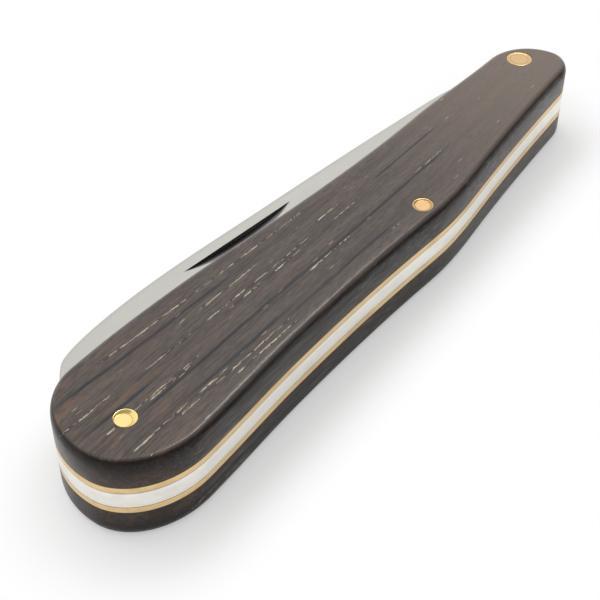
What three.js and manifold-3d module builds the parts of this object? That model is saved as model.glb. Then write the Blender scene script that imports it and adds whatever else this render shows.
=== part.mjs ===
// A folding pocket knife: one blade held open and shut by a back spring, brass liners, wooden scales.
// Millimetres, +Z up. The knife lies folded on its rear scale: +X runs from the butt to the nose
// (the pivot end), +Y points to the side that the blade folds out of, and -Y is the spring's side.
import * as THREE from 'three';
import { mergeVertices } from 'three/addons/utils/BufferGeometryUtils.js';
import Module from 'manifold-3d';

// Handle outline. The butt pin is at X = 0, Y = 0, and the pin line runs from it to the pivot pin.
// A slope is in degrees: the front edge's is its rise to the butt, the back edge's its rise to the nose.
const pinSpacing = 80; // butt pin to pivot pin
const buttReach = 5.97; // butt pin to the end of the butt
const buttRise = 0.2; // height of that end
const buttFront = 9.42; // front edge above the pin line at the butt
const buttFrontFrom = 2; // butt pin to that place
const buttBack = 7.3; // back edge below the pin line at the butt
const buttBackFrom = 3.6;
const gripBack = 7.05; // back edge where the hand closes
const gripFrom = 19;
const gripSlope = -0.5;
const palmBack = 8.42; // back edge at the swell for the palm
const palmFrom = 48.6;
const palmEntry = { before: 7, rise: 0.44, slope: -4.5 }; // the swell's side to the butt
const palmExit = { after: 8.4, rise: 0.55, slope: 5.4 }; // the swell's side to the nose
const noseBack = 6.35; // back edge at the nose
const noseBackFrom = 0.4; // pivot pin to that place
const noseBackSlope = 2.5;
const noseReach = 4.65; // pivot pin to the end of the nose
const noseRise = -2.85; // height of that end
const noseFront = 3.58; // front edge at the nose
const noseFrontFrom = -1.7; // pivot pin to that place
const noseFrontSlope = 2.1;
const waistFront = 4.68; // front edge before the nose
const waistFrom = 60.5;
const waistSlope = 1.3;
const shoulderFront = 7.45; // front edge behind the butt
const shoulderFrom = 28;
const shoulderSlope = 7.5;

// Layers, from the rear scale's face at Z = 0 to the front scale's face.
const scaleThickness = 3.65;
const linerThickness = 0.8;
const springThickness = 2.1;
const bladeSideGap = 0.05; // on each side of the blade, so that it runs between the liners

// How the scales roll over from their walls to their flat faces.
const buttRoll = { width: 0.7, depth: 1.35 };
const sideRoll = { width: 1.0, depth: 0.9 };
const noseRoll = { width: 1.0, depth: 1.2 };
const sideRollFrom = 10; // the sides' roll is full from here on
const noseRollStart = 28;
const noseRollFull = 62;

// Pins
const rivetRadius = 1.25;
const pivotRadius = 1.7;
const pinDome = 0.12; // height of a pin's domed end
const pinSunk = 0.02; // from a dome's crown to the scale's face
const rivetFit = 0.03; // a rivet in its hole, on the radius
const pivotFit = 0.05; // the pivot in the blade, on the radius
const springPinFrom = 45.4; // butt pin to spring pin
const springPinInset = 2.25; // back edge to spring pin

// Blade and tang, in the blade's own frame: the pivot is the origin, +X runs to the tip and
// -Y to the spine, which is how the blade lies in the handle's frame when it is open.
const swing = 173; // degrees from folded to open
const tangFlat = 3.1; // pivot to the two flats that the spring rests on
const camRadius = 3.5; // round end of the tang between the flats
const springSeat = 0.05; // the spring's gap to the tang's flat and shoulder
const shoulderReach = 3.0; // pivot to the shoulder that meets the spring's end
const kickReach = 8.0; // how far the folded tang lies on the spring
const choilLength = 3.0; // from the kick to the start of the edge
const choilDip = { from: 1.35, depth: 0.35, slope: -70 }; // the hollow between the kick and the edge
const choilHeight = 3.8; // edge below the pivot at that start
const edgeMiddle = 5.6; // edge below the pivot where the spine is highest
const edgeSlope = 2.8; // from the choil to there
const tipPast = 0.5; // the tip's distance past the butt pin's, from the pivot
const tipHeight = 1.2; // the tip below the blade's middle line
const tipFlat = 0.16;
const spineHeight = 7.1; // highest line of the spine
const spineFrom = 43; // pivot to that place
const shoulderSpine = 6.6; // spine above the start of the edge
const shoulderSpineSlope = -2;
const spineFall = { before: 12, drop: 0.7, slope: 7 }; // where it falls, before the tip
const spinePoint = { before: 4, height: 4.35, slope: 42 }; // where it turns to the tip
const tipSlope = { spine: 60, edge: -30 };
const edgeDrop = 6.2; // cutting edge below the pivot where the belly starts
const bellyLength = 20; // from there to the tip
const bellyTurn = { before: 7, rise: 2.1, slope: -18 }; // where the belly turns to the tip
const grindHeight = 0.6; // the grind starts this far above the middle line
const grindFall = { before: 14, drop: 0.2, slope: 2 };
const grindPoint = { before: 3.7, drop: 0.9, slope: 10 }; // where it turns to the tip, above the tip
const plungeLength = 2.5; // over which the grind deepens
const edgeThickness = 0.12;

// Nail nick, on the front face only
const nickFrom = 48.3; // pivot to the middle of the nick
const nickLength = 18;
const nickWidth = 1.8;
const nickDepth = 0.7;
const nickInset = 1.5; // spine to the nick's wall

// Back spring
const springWork = 2.85; // depth of the part that bends
const springWorkFrom = 57;
const springBoss = 2.45; // radius of the boss round the spring pin
const bossCheek = { drop: 0.35, slope: 20 }; // its sides, a radius before and after the pin
const springWaist = 3.2; // depth between the boss and the butt
const springWaistFrom = 31;
const springFoot = 3.6; // depth where the butt block starts
const springFootFrom = 19;
const springFootSlope = 8;
const blockReach = 7.4; // butt pin to the block's front face
const blockSlope = 47;
const tipGap = 1.3; // the blade's tip to the block
const tipGapSlope = 40;
const lipRise = 2; // the block's front end above the blade's tip
const lipSlope = 15;

const cutOver = 1; // how far a cutter runs past what it cuts, on each side
const outlineSteps = 14;
const choilSteps = 5;
const holeSegments = 40;
const rollSteps = 6;

// Finishes
const wood = new THREE.MeshStandardMaterial({ color: 0x5b514b, roughness: 0.5, metalness: 0 });
const brass = new THREE.MeshStandardMaterial({ color: 0xd2a75c, roughness: 0.35, metalness: 1 });
const steel = new THREE.MeshStandardMaterial({ color: 0xc9c8c2, roughness: 0.35, metalness: 1 });

const wasm = await Module();
wasm.setup();

function toSolid(geometry) {
  const bare = geometry.clone();
  bare.deleteAttribute('normal');
  bare.deleteAttribute('uv');
  const merged = mergeVertices(bare, 1e-5);
  return new wasm.Manifold(new wasm.Mesh({
    numProp: 3,
    vertProperties: new Float32Array(merged.attributes.position.array),
    triVerts: new Uint32Array(merged.index.array),
  }));
}

function toGeometry(solid) {
  const mesh = solid.getMesh();
  const geometry = new THREE.BufferGeometry();
  geometry.setAttribute('position', new THREE.BufferAttribute(new Float32Array(mesh.vertProperties), 3));
  geometry.setIndex(new THREE.BufferAttribute(new Uint32Array(mesh.triVerts), 1));
  return geometry;
}

// A closed solid through rings of points, each ring counter-clockwise seen from the last one.
function loft(rings, flatten) {
  const count = rings[0].length;
  const last = (rings.length - 1) * count;
  const cap = ring => THREE.ShapeUtils.triangulateShape(ring.map(flatten), []);
  const faces = cap(rings[0]).map(([a, b, c]) => [c, b, a]);
  for (let k = 0; k < rings.length - 1; k++) {
    for (let i = 0; i < count; i++) {
      const a = k * count + i;
      const b = k * count + (i + 1) % count;
      faces.push([a, b, b + count], [a, b + count, a + count]);
    }
  }
  cap(rings.at(-1)).forEach(face => faces.push(face.map(i => i + last)));
  const geometry = new THREE.BufferGeometry().setFromPoints(rings.flat());
  geometry.setIndex(faces.flat());
  return geometry;
}

// A point turned about the origin by an angle in degrees.
function turned(x, y, degrees) {
  return new THREE.Vector2(x, y).rotateAround(new THREE.Vector2(), THREE.MathUtils.degToRad(degrees));
}

// One cubic from a station to the next: straight ends stay straight, and a corner is close to an ellipse.
function addBend(path, from, to) {
  const start = new THREE.Vector2(from.x, from.y);
  const end = new THREE.Vector2(to.x, to.y);
  const along = turned(1, 0, from.heading);
  const leave = turned(1, 0, to.heading);
  const chord = end.clone().sub(start);
  const turn = Math.abs(THREE.MathUtils.euclideanModulo(to.heading - from.heading + 180, 360) - 180);
  let reach = [chord.length() / 3, chord.length() / 3];
  if (turn > 30) {
    const half = THREE.MathUtils.degToRad(turn) / 2;
    const share = 4 / 3 * Math.tan(half / 2) / Math.tan(half);
    const cross = along.cross(leave);
    reach = [share * chord.cross(leave) / cross, share * along.cross(chord) / cross];
  }
  const first = start.addScaledVector(along, reach[0]);
  const second = end.clone().addScaledVector(leave, -reach[1]);
  path.bezierCurveTo(first.x, first.y, second.x, second.y, end.x, end.y);
}

function bend(path, stations) {
  path.moveTo(stations[0].x, stations[0].y);
  stations.slice(1).forEach((station, i) => addBend(path, stations[i], station));
  return path;
}

const at = (x, y, heading) => ({ x, y, heading });

const pivot = new THREE.Vector2(pinSpacing, 0);
const butt = at(-buttReach, buttRise, -90);
const handleShape = bend(new THREE.Shape(), [
  butt,
  at(buttBackFrom, -buttBack, 0),
  at(gripFrom, -gripBack, gripSlope),
  at(palmFrom - palmEntry.before, -palmBack + palmEntry.rise, palmEntry.slope),
  at(palmFrom, -palmBack, 0),
  at(palmFrom + palmExit.after, -palmBack + palmExit.rise, palmExit.slope),
  at(pivot.x + noseBackFrom, -noseBack, noseBackSlope),
  at(pivot.x + noseReach, noseRise, 90),
  at(pivot.x + noseFrontFrom, noseFront, 180 - noseFrontSlope),
  at(waistFrom, waistFront, 180 - waistSlope),
  at(shoulderFrom, shoulderFront, 180 - shoulderSlope),
  at(buttFrontFrom, buttFront, 180),
  butt,
]);
const handlePoints = handleShape.getPoints(outlineSteps).slice(0, -1);

// Height of the handle's back edge at a place along it.
function backEdge(x) {
  const crossings = handlePoints.flatMap((p, i) => {
    const q = handlePoints[(i + 1) % handlePoints.length];
    if ((p.x - x) * (q.x - x) > 0 || p.x === q.x) return [];
    return [THREE.MathUtils.lerp(p.y, q.y, (x - p.x) / (q.x - p.x))];
  });
  return Math.min(...crossings);
}

const springPin = new THREE.Vector2(springPinFrom, backEdge(springPinFrom) + springPinInset);
const pins = [
  { name: 'butt_pin', place: new THREE.Vector2(0, 0), radius: rivetRadius },
  { name: 'spring_pin', place: springPin, radius: rivetRadius },
  { name: 'pivot_pin', place: pivot, radius: pivotRadius },
];
const handleThickness = 2 * (scaleThickness + linerThickness) + springThickness;
const bladeThickness = springThickness - 2 * bladeSideGap;

function pinHoles(list) {
  return list.map(pin => {
    const hole = new THREE.Path();
    hole.absarc(pin.place.x, pin.place.y, pin.radius + rivetFit, 0, 2 * Math.PI, true);
    return hole;
  });
}

function plate(shape, holes, thickness) {
  const holed = shape.clone();
  holed.holes = holes;
  const settings = { depth: thickness, bevelEnabled: false, curveSegments: outlineSteps };
  return new THREE.ExtrudeGeometry(holed, settings);
}

// A tool that goes right through, to drill a hole at a place.
function drill(place, radius, depth) {
  const tool = new THREE.CylinderGeometry(radius, radius, depth + 2 * cutOver, holeSegments);
  tool.rotateX(Math.PI / 2);
  tool.translate(place.x, place.y, depth / 2);
  return toSolid(tool);
}

function rollAt(x) {
  const toSide = THREE.MathUtils.smoothstep(x, -buttReach, sideRollFrom);
  const toNose = THREE.MathUtils.smoothstep(x, noseRollStart, noseRollFull);
  const mix = key => {
    const side = THREE.MathUtils.lerp(buttRoll[key], sideRoll[key], toSide);
    return THREE.MathUtils.lerp(side, noseRoll[key], toNose);
  };
  return { width: mix('width'), depth: mix('depth') };
}

// A scale, lying on its liner side: a wall, then a quarter of an ellipse up to the flat face.
function scaleGeometry() {
  const inward = handlePoints.map((p, i) => {
    const before = handlePoints.at(i - 1);
    const after = handlePoints[(i + 1) % handlePoints.length];
    return new THREE.Vector2(before.y - after.y, after.x - before.x).normalize();
  });
  const ring = (angle, base) => handlePoints.map((p, i) => {
    const roll = rollAt(p.x);
    const moved = p.clone().addScaledVector(inward[i], roll.width * (1 - Math.cos(angle)));
    const height = base ? 0 : scaleThickness - roll.depth * (1 - Math.sin(angle));
    return new THREE.Vector3(moved.x, moved.y, height);
  });
  const rings = [ring(0, true)];
  for (let k = 0; k <= rollSteps; k++) rings.push(ring(k / rollSteps * Math.PI / 2, false));
  const body = toSolid(loft(rings, p => new THREE.Vector2(p.x, p.y)));
  return toGeometry(pins.reduce(
    (solid, pin) => solid.subtract(drill(pin.place, pin.radius + rivetFit, scaleThickness)), body));
}

// The blade's folded place of a point in its own frame.
function folded(x, y) {
  return turned(x, y, swing).add(pivot);
}

const lean = THREE.MathUtils.degToRad(180 - swing); // the folded flat's angle to the open one
const tipReach = pinSpacing + tipPast;
const shoulderX = pivot.x + shoulderReach - springSeat; // the spring's end
const kickX = pivot.x - kickReach;

// The back spring: the handle's outline less the well that the blade folds into.
function springGeometry() {
  const inner = -tangFlat - springSeat;
  const tip = folded(tipReach, tipHeight);
  const bossSide = springPin.y + springBoss - bossCheek.drop;
  const outer = {
    left: -buttReach - lipRise,
    right: pivot.x + noseReach + cutOver,
    top: tip.y + lipRise + cutOver,
    bottom: -palmBack - cutOver,
  };
  const well = new THREE.Shape();
  bend(well, [
    at(kickX, inner, 180),
    at(springWorkFrom, backEdge(springWorkFrom) + springWork, 180),
    at(springPin.x + springBoss, bossSide, 180 - bossCheek.slope),
    at(springPin.x, springPin.y + springBoss, 180),
    at(springPin.x - springBoss, bossSide, 180 + bossCheek.slope),
    at(springWaistFrom, backEdge(springWaistFrom) + springWaist, 180),
    at(springFootFrom, backEdge(springFootFrom) + springFoot, 180 - springFootSlope),
    at(blockReach, 0, 180 - blockSlope),
    at(tip.x - tipGap / 2, tip.y - tipGap, 180 - tipGapSlope),
    at(outer.left, tip.y + lipRise, 180 - lipSlope),
  ]);
  well.lineTo(outer.left, outer.top);
  well.lineTo(outer.right, outer.top);
  well.lineTo(outer.right, outer.bottom);
  well.lineTo(shoulderX, outer.bottom);
  well.lineTo(shoulderX, inner);
  well.closePath();
  const cutter = plate(well, [], springThickness + 2 * cutOver).translate(0, 0, -cutOver);
  const holed = plate(handleShape, pinHoles(pins.slice(0, 2)), springThickness);
  return toGeometry(toSolid(holed).subtract(toSolid(cutter)));
}

// The tang behind the shoulder: two flats joined by the round end, in the blade's frame.
function tangGeometry() {
  const flatEnd = Math.acos(tangFlat / camRadius);
  const shape = new THREE.Shape();
  const foldedFlat = flatPoint(shoulderReach);
  shape.moveTo(shoulderReach, -tangFlat);
  shape.lineTo(shoulderReach, foldedFlat.y);
  shape.absarc(0, 0, camRadius, Math.PI / 2 + lean + flatEnd, 1.5 * Math.PI - flatEnd, false);
  shape.closePath();
  return plate(shape, [], bladeThickness);
}

// The point of the folded flat at a given X of the blade's frame.
function flatPoint(x) {
  return new THREE.Vector2(x, (tangFlat + x * Math.sin(lean)) / Math.cos(lean));
}

// The blade from its shoulder to its tip, as rings across it: spine, grind line and edge.
function bladeBodyGeometry() {
  const shoulderTop = backEdge(shoulderX);
  const kick = flatPoint(kickReach * Math.cos(lean) - tangFlat * Math.sin(lean));
  const edgeStart = new THREE.Vector2(kick.x + choilLength, choilHeight);
  const half = bladeThickness / 2;
  const line = (stations, steps) => bend(new THREE.Path(), stations).getPoints(steps);
  const spine = line([
    at(edgeStart.x, -shoulderSpine, shoulderSpineSlope),
    at(spineFrom, -spineHeight, 0),
    at(tipReach - spineFall.before, -spineHeight + spineFall.drop, spineFall.slope),
    at(tipReach - spinePoint.before, -spinePoint.height, spinePoint.slope),
    at(tipReach, tipHeight - tipFlat, tipSlope.spine),
  ], outlineSteps);
  const grind = line([
    at(edgeStart.x + plungeLength, -grindHeight, 0),
    at(spineFrom, -grindHeight, 0),
    at(tipReach - grindFall.before, -grindHeight + grindFall.drop, grindFall.slope),
    at(tipReach - grindPoint.before, tipHeight - grindPoint.drop, grindPoint.slope),
    at(tipReach, tipHeight - tipFlat / 2, 2 * grindPoint.slope),
  ], outlineSteps);
  const edge = line([
    at(edgeStart.x, edgeStart.y, edgeSlope),
    at(spineFrom, edgeMiddle, edgeSlope),
    at(tipReach - bellyLength, edgeDrop, 0),
    at(tipReach - bellyTurn.before, edgeDrop - bellyTurn.rise, bellyTurn.slope),
    at(tipReach, tipHeight, tipSlope.edge),
  ], outlineSteps);
  const choil = line([
    at(kick.x, kick.y, choilDip.slope),
    at(kick.x + choilDip.from, choilHeight - choilDip.depth, 0),
    at(edgeStart.x, edgeStart.y, edgeSlope),
  ], choilSteps).slice(0, -1);
  const ring = (top, middle, bottom, keenness) => {
    const thin = THREE.MathUtils.lerp(half, edgeThickness / 2, keenness);
    return [
      new THREE.Vector3(top.x, top.y, -half), new THREE.Vector3(middle.x, middle.y, -half),
      new THREE.Vector3(bottom.x, bottom.y, -thin), new THREE.Vector3(bottom.x, bottom.y, thin),
      new THREE.Vector3(middle.x, middle.y, half), new THREE.Vector3(top.x, top.y, half),
    ];
  };
  const square = bottom => {
    const share = (bottom.x - shoulderReach) / (edgeStart.x - shoulderReach);
    const top = THREE.MathUtils.lerp(shoulderTop, -shoulderSpine, share * (2 - share));
    return ring(new THREE.Vector2(bottom.x, top), new THREE.Vector2(bottom.x, -grindHeight), bottom, 0);
  };
  const rings = [flatPoint(shoulderReach), ...choil].map(square);
  spine.forEach((top, i) => rings.push(ring(top, grind[i], edge[i], i === 0 ? 0 : 1)));
  return loft(rings, p => new THREE.Vector2(p.y, p.z));
}

// A cutter for the nick: an upright wall on the spine's side, and a floor that rises to the edge's
// side and to both ends.
function nickGeometry() {
  const steps = 24;
  const over = 1.1; // the cutter's share of the nick's length and width
  const wall = -spineHeight + nickInset;
  const section = across => {
    const floor = [];
    for (let i = 0; i <= steps; i++) {
      const share = over * (2 * i / steps - 1);
      const fall = 1 - share * share;
      const z = bladeThickness / 2 - nickDepth * (fall - across);
      floor.push(new THREE.Vector3(nickFrom + share * nickLength / 2, wall + across * nickWidth, z));
    }
    const lid = floor.map(p => new THREE.Vector3(p.x, p.y, bladeThickness / 2 + cutOver)).reverse();
    return [...floor, ...lid];
  };
  return loft([section(over), section(0)], p => new THREE.Vector2(p.x, p.z));
}

function bladeGeometry() {
  const tang = toSolid(tangGeometry().translate(0, 0, -bladeThickness / 2));
  const hole = drill(new THREE.Vector2(0, 0), pivotRadius + pivotFit, bladeThickness)
    .translate([0, 0, -bladeThickness / 2]);
  return toGeometry(toSolid(bladeBodyGeometry()).add(tang).subtract(hole).subtract(toSolid(nickGeometry())));
}

// A pin with domed ends, standing on the crown of its lower dome.
function pinGeometry(radius) {
  const length = handleThickness - 2 * pinSunk;
  const domeSteps = 4;
  const rise = share => pinDome * (1 - share * share);
  const lower = [];
  for (let i = 0; i <= domeSteps; i++) {
    const share = i / domeSteps;
    lower.push(new THREE.Vector2(share * radius, pinDome - rise(share)));
  }
  const upper = lower.map(p => new THREE.Vector2(p.x, length - p.y)).reverse();
  return new THREE.LatheGeometry([...lower, ...upper], holeSegments).rotateX(Math.PI / 2);
}

function mesh(name, geometry, material) {
  geometry.computeVertexNormals();
  const piece = new THREE.Mesh(geometry, material);
  piece.name = name;
  return piece;
}

// Assembly, layer by layer, then the pins, then the blade folded into its well.
const rearLinerZ = scaleThickness;
const springZ = rearLinerZ + linerThickness;
const frontLinerZ = springZ + springThickness;
const frontScaleZ = frontLinerZ + linerThickness;

const knife = new THREE.Group();

const frontScale = mesh('front_scale', scaleGeometry(), wood);
frontScale.position.z = frontScaleZ;

const rearScale = mesh('rear_scale', scaleGeometry().scale(1, 1, -1), wood);
rearScale.geometry.index.array.reverse();
rearScale.position.z = scaleThickness;

const frontLiner = mesh('front_liner', plate(handleShape, pinHoles(pins), linerThickness), brass);
frontLiner.position.z = frontLinerZ;

const rearLiner = mesh('rear_liner', plate(handleShape, pinHoles(pins), linerThickness), brass);
rearLiner.position.z = rearLinerZ;

const backSpring = mesh('back_spring', springGeometry(), steel);
backSpring.position.z = springZ;

const blade = mesh('blade', bladeGeometry(), steel);
blade.position.set(pivot.x, pivot.y, springZ + springThickness / 2);
blade.rotation.z = THREE.MathUtils.degToRad(swing);

knife.add(frontScale, rearScale, frontLiner, rearLiner, backSpring, blade);
for (const pin of pins) {
  const piece = mesh(pin.name, pinGeometry(pin.radius), brass);
  piece.position.set(pin.place.x, pin.place.y, pinSunk);
  knife.add(piece);
}

// The origin is under the middle of the folded knife, on the surface that it lies on.
knife.updateMatrixWorld(true);
const middle = new THREE.Box3().setFromObject(knife, true).getCenter(new THREE.Vector3());
knife.position.set(-middle.x, -middle.y, 0);
knife.updateMatrixWorld(true);

export default knife;
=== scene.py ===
"""A folding pocket knife with wooden scales, brass liners and pins, a steel spring and its blade.

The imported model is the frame: it gives the pins' places and the heights of the layers. Every visible
piece is made here again as a finer surface, and rides on the body of the piece that it stands for.
Sizes are in millimetres, in the pin frame: its origin is on the butt pin's axis, level with the
surface that the knife lies on, with +X to the pivot pin and -Y to the spring. The blade has a frame of
its own, with its origin on the pivot, +X to the tip and -Y to the spine.
"""

from __future__ import annotations

import logging
import math
from dataclasses import dataclass, field
from enum import Enum
from typing import Any

import bpy
import numpy as np
from mathutils import Matrix, Vector


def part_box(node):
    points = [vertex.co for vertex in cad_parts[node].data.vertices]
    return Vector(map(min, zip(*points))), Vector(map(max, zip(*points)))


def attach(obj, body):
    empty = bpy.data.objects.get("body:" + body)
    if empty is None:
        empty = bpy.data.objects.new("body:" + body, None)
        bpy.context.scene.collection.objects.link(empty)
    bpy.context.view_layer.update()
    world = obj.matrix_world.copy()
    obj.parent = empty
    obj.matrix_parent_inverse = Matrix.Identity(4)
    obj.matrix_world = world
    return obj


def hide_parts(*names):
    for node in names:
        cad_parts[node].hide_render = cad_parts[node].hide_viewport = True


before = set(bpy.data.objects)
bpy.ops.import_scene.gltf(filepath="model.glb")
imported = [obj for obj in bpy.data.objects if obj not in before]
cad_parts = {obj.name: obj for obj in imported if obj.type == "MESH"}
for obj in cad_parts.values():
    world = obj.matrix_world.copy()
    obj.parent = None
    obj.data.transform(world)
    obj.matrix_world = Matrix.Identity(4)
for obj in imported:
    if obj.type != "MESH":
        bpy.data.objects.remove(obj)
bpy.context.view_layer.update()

log = logging.getLogger("pocket_knife")

MM = 0.001
SHARP = math.radians(35)


class Body(Enum):
    """The two bodies that the pivot joins."""

    HANDLE = "handle"
    BLADE = "blade"


class Slot(Enum):
    """The record's material slots."""

    WOOD = "scale_wood"
    LINER = "liner_brass"
    SPRING = "spring_steel"
    BLADE = "blade_steel"
    PIN = "pin_brass"


class Side(Enum):
    """The face of the knife that a layer belongs to, as the sign of its Z from the middle."""

    FRONT = 1
    REAR = -1


@dataclass(frozen=True)
class Station:
    """A place that a line passes through, and its heading there in degrees from +X."""

    x: float
    y: float
    heading: float


@dataclass(frozen=True)
class Offset:
    """A place given from another one: how far along and up, and the heading there."""

    along: float
    up: float
    heading: float

    def of(self, place: Station) -> Station:
        """Gives the station at this offset from a place."""
        return Station(place.x + self.along, place.y + self.up, self.heading)


def cross(a: np.ndarray, b: np.ndarray) -> float:
    """Gives how far b turns left of a: ax by - ay bx."""
    return float(a[0] * b[1] - a[1] * b[0])


def bend(start: Station, end: Station, steps: int) -> np.ndarray:
    """Makes one cubic between two stations.

    A point is (1-t)^3 P0 + 3 (1-t)^2 t P1 + 3 (1-t) t^2 P2 + t^3 P3. P1 and P2 lie along the headings,
    a third of the chord away, or for a turn past 30 degrees that share of the way to the corner which
    turns a round corner into an ellipse.

    Args:
        start: where the cubic starts.
        end: where it ends.
        steps: how many points it gets, without its last one.

    Returns:
        The points, one row each.
    """
    p0 = np.array([start.x, start.y])
    p3 = np.array([end.x, end.y])
    chord = p3 - p0
    along, leave = (
        np.array([math.cos(math.radians(s.heading)), math.sin(math.radians(s.heading))]) for s in (start, end)
    )
    turn = abs((end.heading - start.heading + 180) % 360 - 180)
    reach = [np.linalg.norm(chord) / 3] * 2
    if turn > 30:
        half = math.radians(turn) / 2
        share = 4 / 3 * math.tan(half / 2) / math.tan(half)
        corner = cross(along, leave)
        reach = [share * cross(chord, leave) / corner, share * cross(along, chord) / corner]
    p1 = p0 + along * reach[0]
    p2 = p3 - leave * reach[1]
    t = np.linspace(0, 1, steps, endpoint=False)[:, None]
    return (1 - t) ** 3 * p0 + 3 * (1 - t) ** 2 * t * p1 + 3 * (1 - t) * t**2 * p2 + t**3 * p3


def line(stations: list[Station], steps: int = 48) -> np.ndarray:
    """Joins stations by cubics.

    Args:
        stations: the places passed through, in order.
        steps: points on each cubic.

    Returns:
        All points from the first station to the last.
    """
    bends = [bend(a, b, steps) for a, b in zip(stations, stations[1:])]
    return np.vstack([*bends, [stations[-1].x, stations[-1].y]])


def evenly(points: np.ndarray, count: int) -> np.ndarray:
    """Spreads points along a polyline at equal steps of its length.

    Args:
        points: the polyline.
        count: how many points to give, both ends among them.

    Returns:
        The new points.
    """
    walked = np.concatenate([[0], np.cumsum(np.linalg.norm(np.diff(points, axis=0), axis=1))])
    wanted = np.linspace(0, walked[-1], count)
    return np.column_stack([np.interp(wanted, walked, points[:, k]) for k in range(points.shape[1])])


def inward_normals(loop: np.ndarray) -> np.ndarray:
    """Gives the unit normals into a loop: the chord past each point, turned left.

    Args:
        loop: the loop's points, counter-clockwise.

    Returns:
        A unit vector for each point.
    """
    chord = np.roll(loop, -1, axis=0) - np.roll(loop, 1, axis=0)
    normal = np.column_stack([-chord[:, 1], chord[:, 0]])
    return normal / np.linalg.norm(normal, axis=1, keepdims=True)


def inside(points: np.ndarray, loop: np.ndarray) -> np.ndarray:
    """Tests which points lie in a loop.

    Args:
        points: the points to test.
        loop: the loop's corners.

    Returns:
        True where a ray along +X from the point crosses the loop an odd number of times.
    """
    a, b = loop, np.roll(loop, -1, axis=0)
    px, py = points[:, :1], points[:, 1:]
    spans = (a[:, 1] > py) != (b[:, 1] > py)
    rise = np.where(b[:, 1] == a[:, 1], 1.0, b[:, 1] - a[:, 1])
    meets = px < a[:, 0] + (py - a[:, 1]) / rise * (b[:, 0] - a[:, 0])
    return (spans & meets).sum(axis=1) % 2 == 1


def smoothstep(value: np.ndarray | float, low: float, high: float) -> np.ndarray | float:
    """Rises from 0 at low to 1 at high as 3 t^2 - 2 t^3."""
    t = np.clip((value - low) / (high - low), 0, 1)
    return t * t * (3 - 2 * t)


def mixed(a: Any, b: Any, share: Any) -> Any:
    """Goes from a to b by a share from 0 to 1."""
    return a + (b - a) * share


@dataclass(frozen=True)
class Datum:
    """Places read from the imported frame.

    Args:
        origin: the butt pin's axis on the surface that the knife lies on, in metres.
        pivot: the pivot pin's axis, in millimetres of the pin frame.
        spring_pin: the spring pin's axis, likewise.
    """

    origin: Vector
    pivot: np.ndarray
    spring_pin: np.ndarray

    @classmethod
    def from_frame(cls) -> Datum:
        """Reads the three pins' axes from their CAD nodes.

        Returns:
            The places that every size is set out from.
        """

        def axis(node: str) -> np.ndarray:
            """Gives the middle of a pin's box, in metres."""
            low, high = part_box(node)
            return np.array([(low[k] + high[k]) / 2 for k in (0, 1)])

        butt = axis("butt_pin")
        return cls(
            origin=Vector((butt[0], butt[1], 0)),
            pivot=(axis("pivot_pin") - butt) / MM,
            spring_pin=(axis("spring_pin") - butt) / MM,
        )

    def heights(self, node: str) -> tuple[float, float]:
        """Gives a CAD node's lowest and highest Z in millimetres."""
        low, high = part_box(node)
        return low[2] / MM, high[2] / MM


datum = Datum.from_frame()


def make_piece(
    name: str, points: np.ndarray, faces: list[list[int]], marks: np.ndarray | None = None
) -> bpy.types.Object:
    """Makes a mesh object at the origin, with its place in its mesh.

    Args:
        name: the object's name.
        points: its vertices in millimetres of the pin frame, one row each.
        faces: its faces' vertex numbers.
        marks: a value for each vertex, kept as the attribute "edge".

    Returns:
        The object, smooth but for its sharp corners.
    """
    mesh = bpy.data.meshes.new(name)
    placed = points * MM + np.array(datum.origin)
    mesh.from_pydata(placed.tolist(), [], faces)
    if marks is not None:
        edge = mesh.attributes.new("edge", "FLOAT", "POINT")
        edge.data.foreach_set("value", marks.astype(np.float32))
    mesh.validate()
    finish_shading(mesh)
    piece = bpy.data.objects.new(name, mesh)
    bpy.context.scene.collection.objects.link(piece)
    return piece


def finish_shading(mesh: bpy.types.Mesh) -> None:
    """Shades a mesh smooth, with its sharp corners kept.

    Args:
        mesh: the mesh.
    """
    mesh.polygons.foreach_set("use_smooth", np.ones(len(mesh.polygons), bool))
    mesh.set_sharp_from_angle(angle=SHARP)
    mesh.update()


def ring_faces(rings: int, count: int) -> list[list[int]]:
    """Numbers the faces of a closed solid through rings that rise one above the other.

    Args:
        rings: how many rings there are.
        count: points on each ring, counter-clockwise from above.

    Returns:
        A quad for each pair of neighbours on two rings, and a cap on the lowest and the highest ring.
    """
    index = np.arange(rings * count).reshape(rings, count)
    ahead = np.roll(index, -1, axis=1)
    quads = np.stack([index[:-1], ahead[:-1], ahead[1:], index[1:]], axis=-1).reshape(-1, 4)
    return [*quads.tolist(), index[0, ::-1].tolist(), index[-1].tolist()]


def revolve(
    profile: np.ndarray, centre: np.ndarray, segments: int = 96
) -> tuple[np.ndarray, list[list[int]]]:
    """Turns a profile about an upright axis: x = r cos a, y = r sin a.

    Args:
        profile: radius and Z of each ring, from the lowest up.
        centre: the axis' place.
        segments: how many steps the turn has.

    Returns:
        The points and faces of the closed solid.
    """
    angle = np.linspace(0, 2 * math.pi, segments, endpoint=False)
    radius, height = profile[:, :1], profile[:, 1:]
    x, y = centre[0] + radius * np.cos(angle), centre[1] + radius * np.sin(angle)
    points = np.stack([x, y, np.broadcast_to(height, x.shape)], axis=-1)
    return points.reshape(-1, 3), ring_faces(len(profile), segments)


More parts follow.
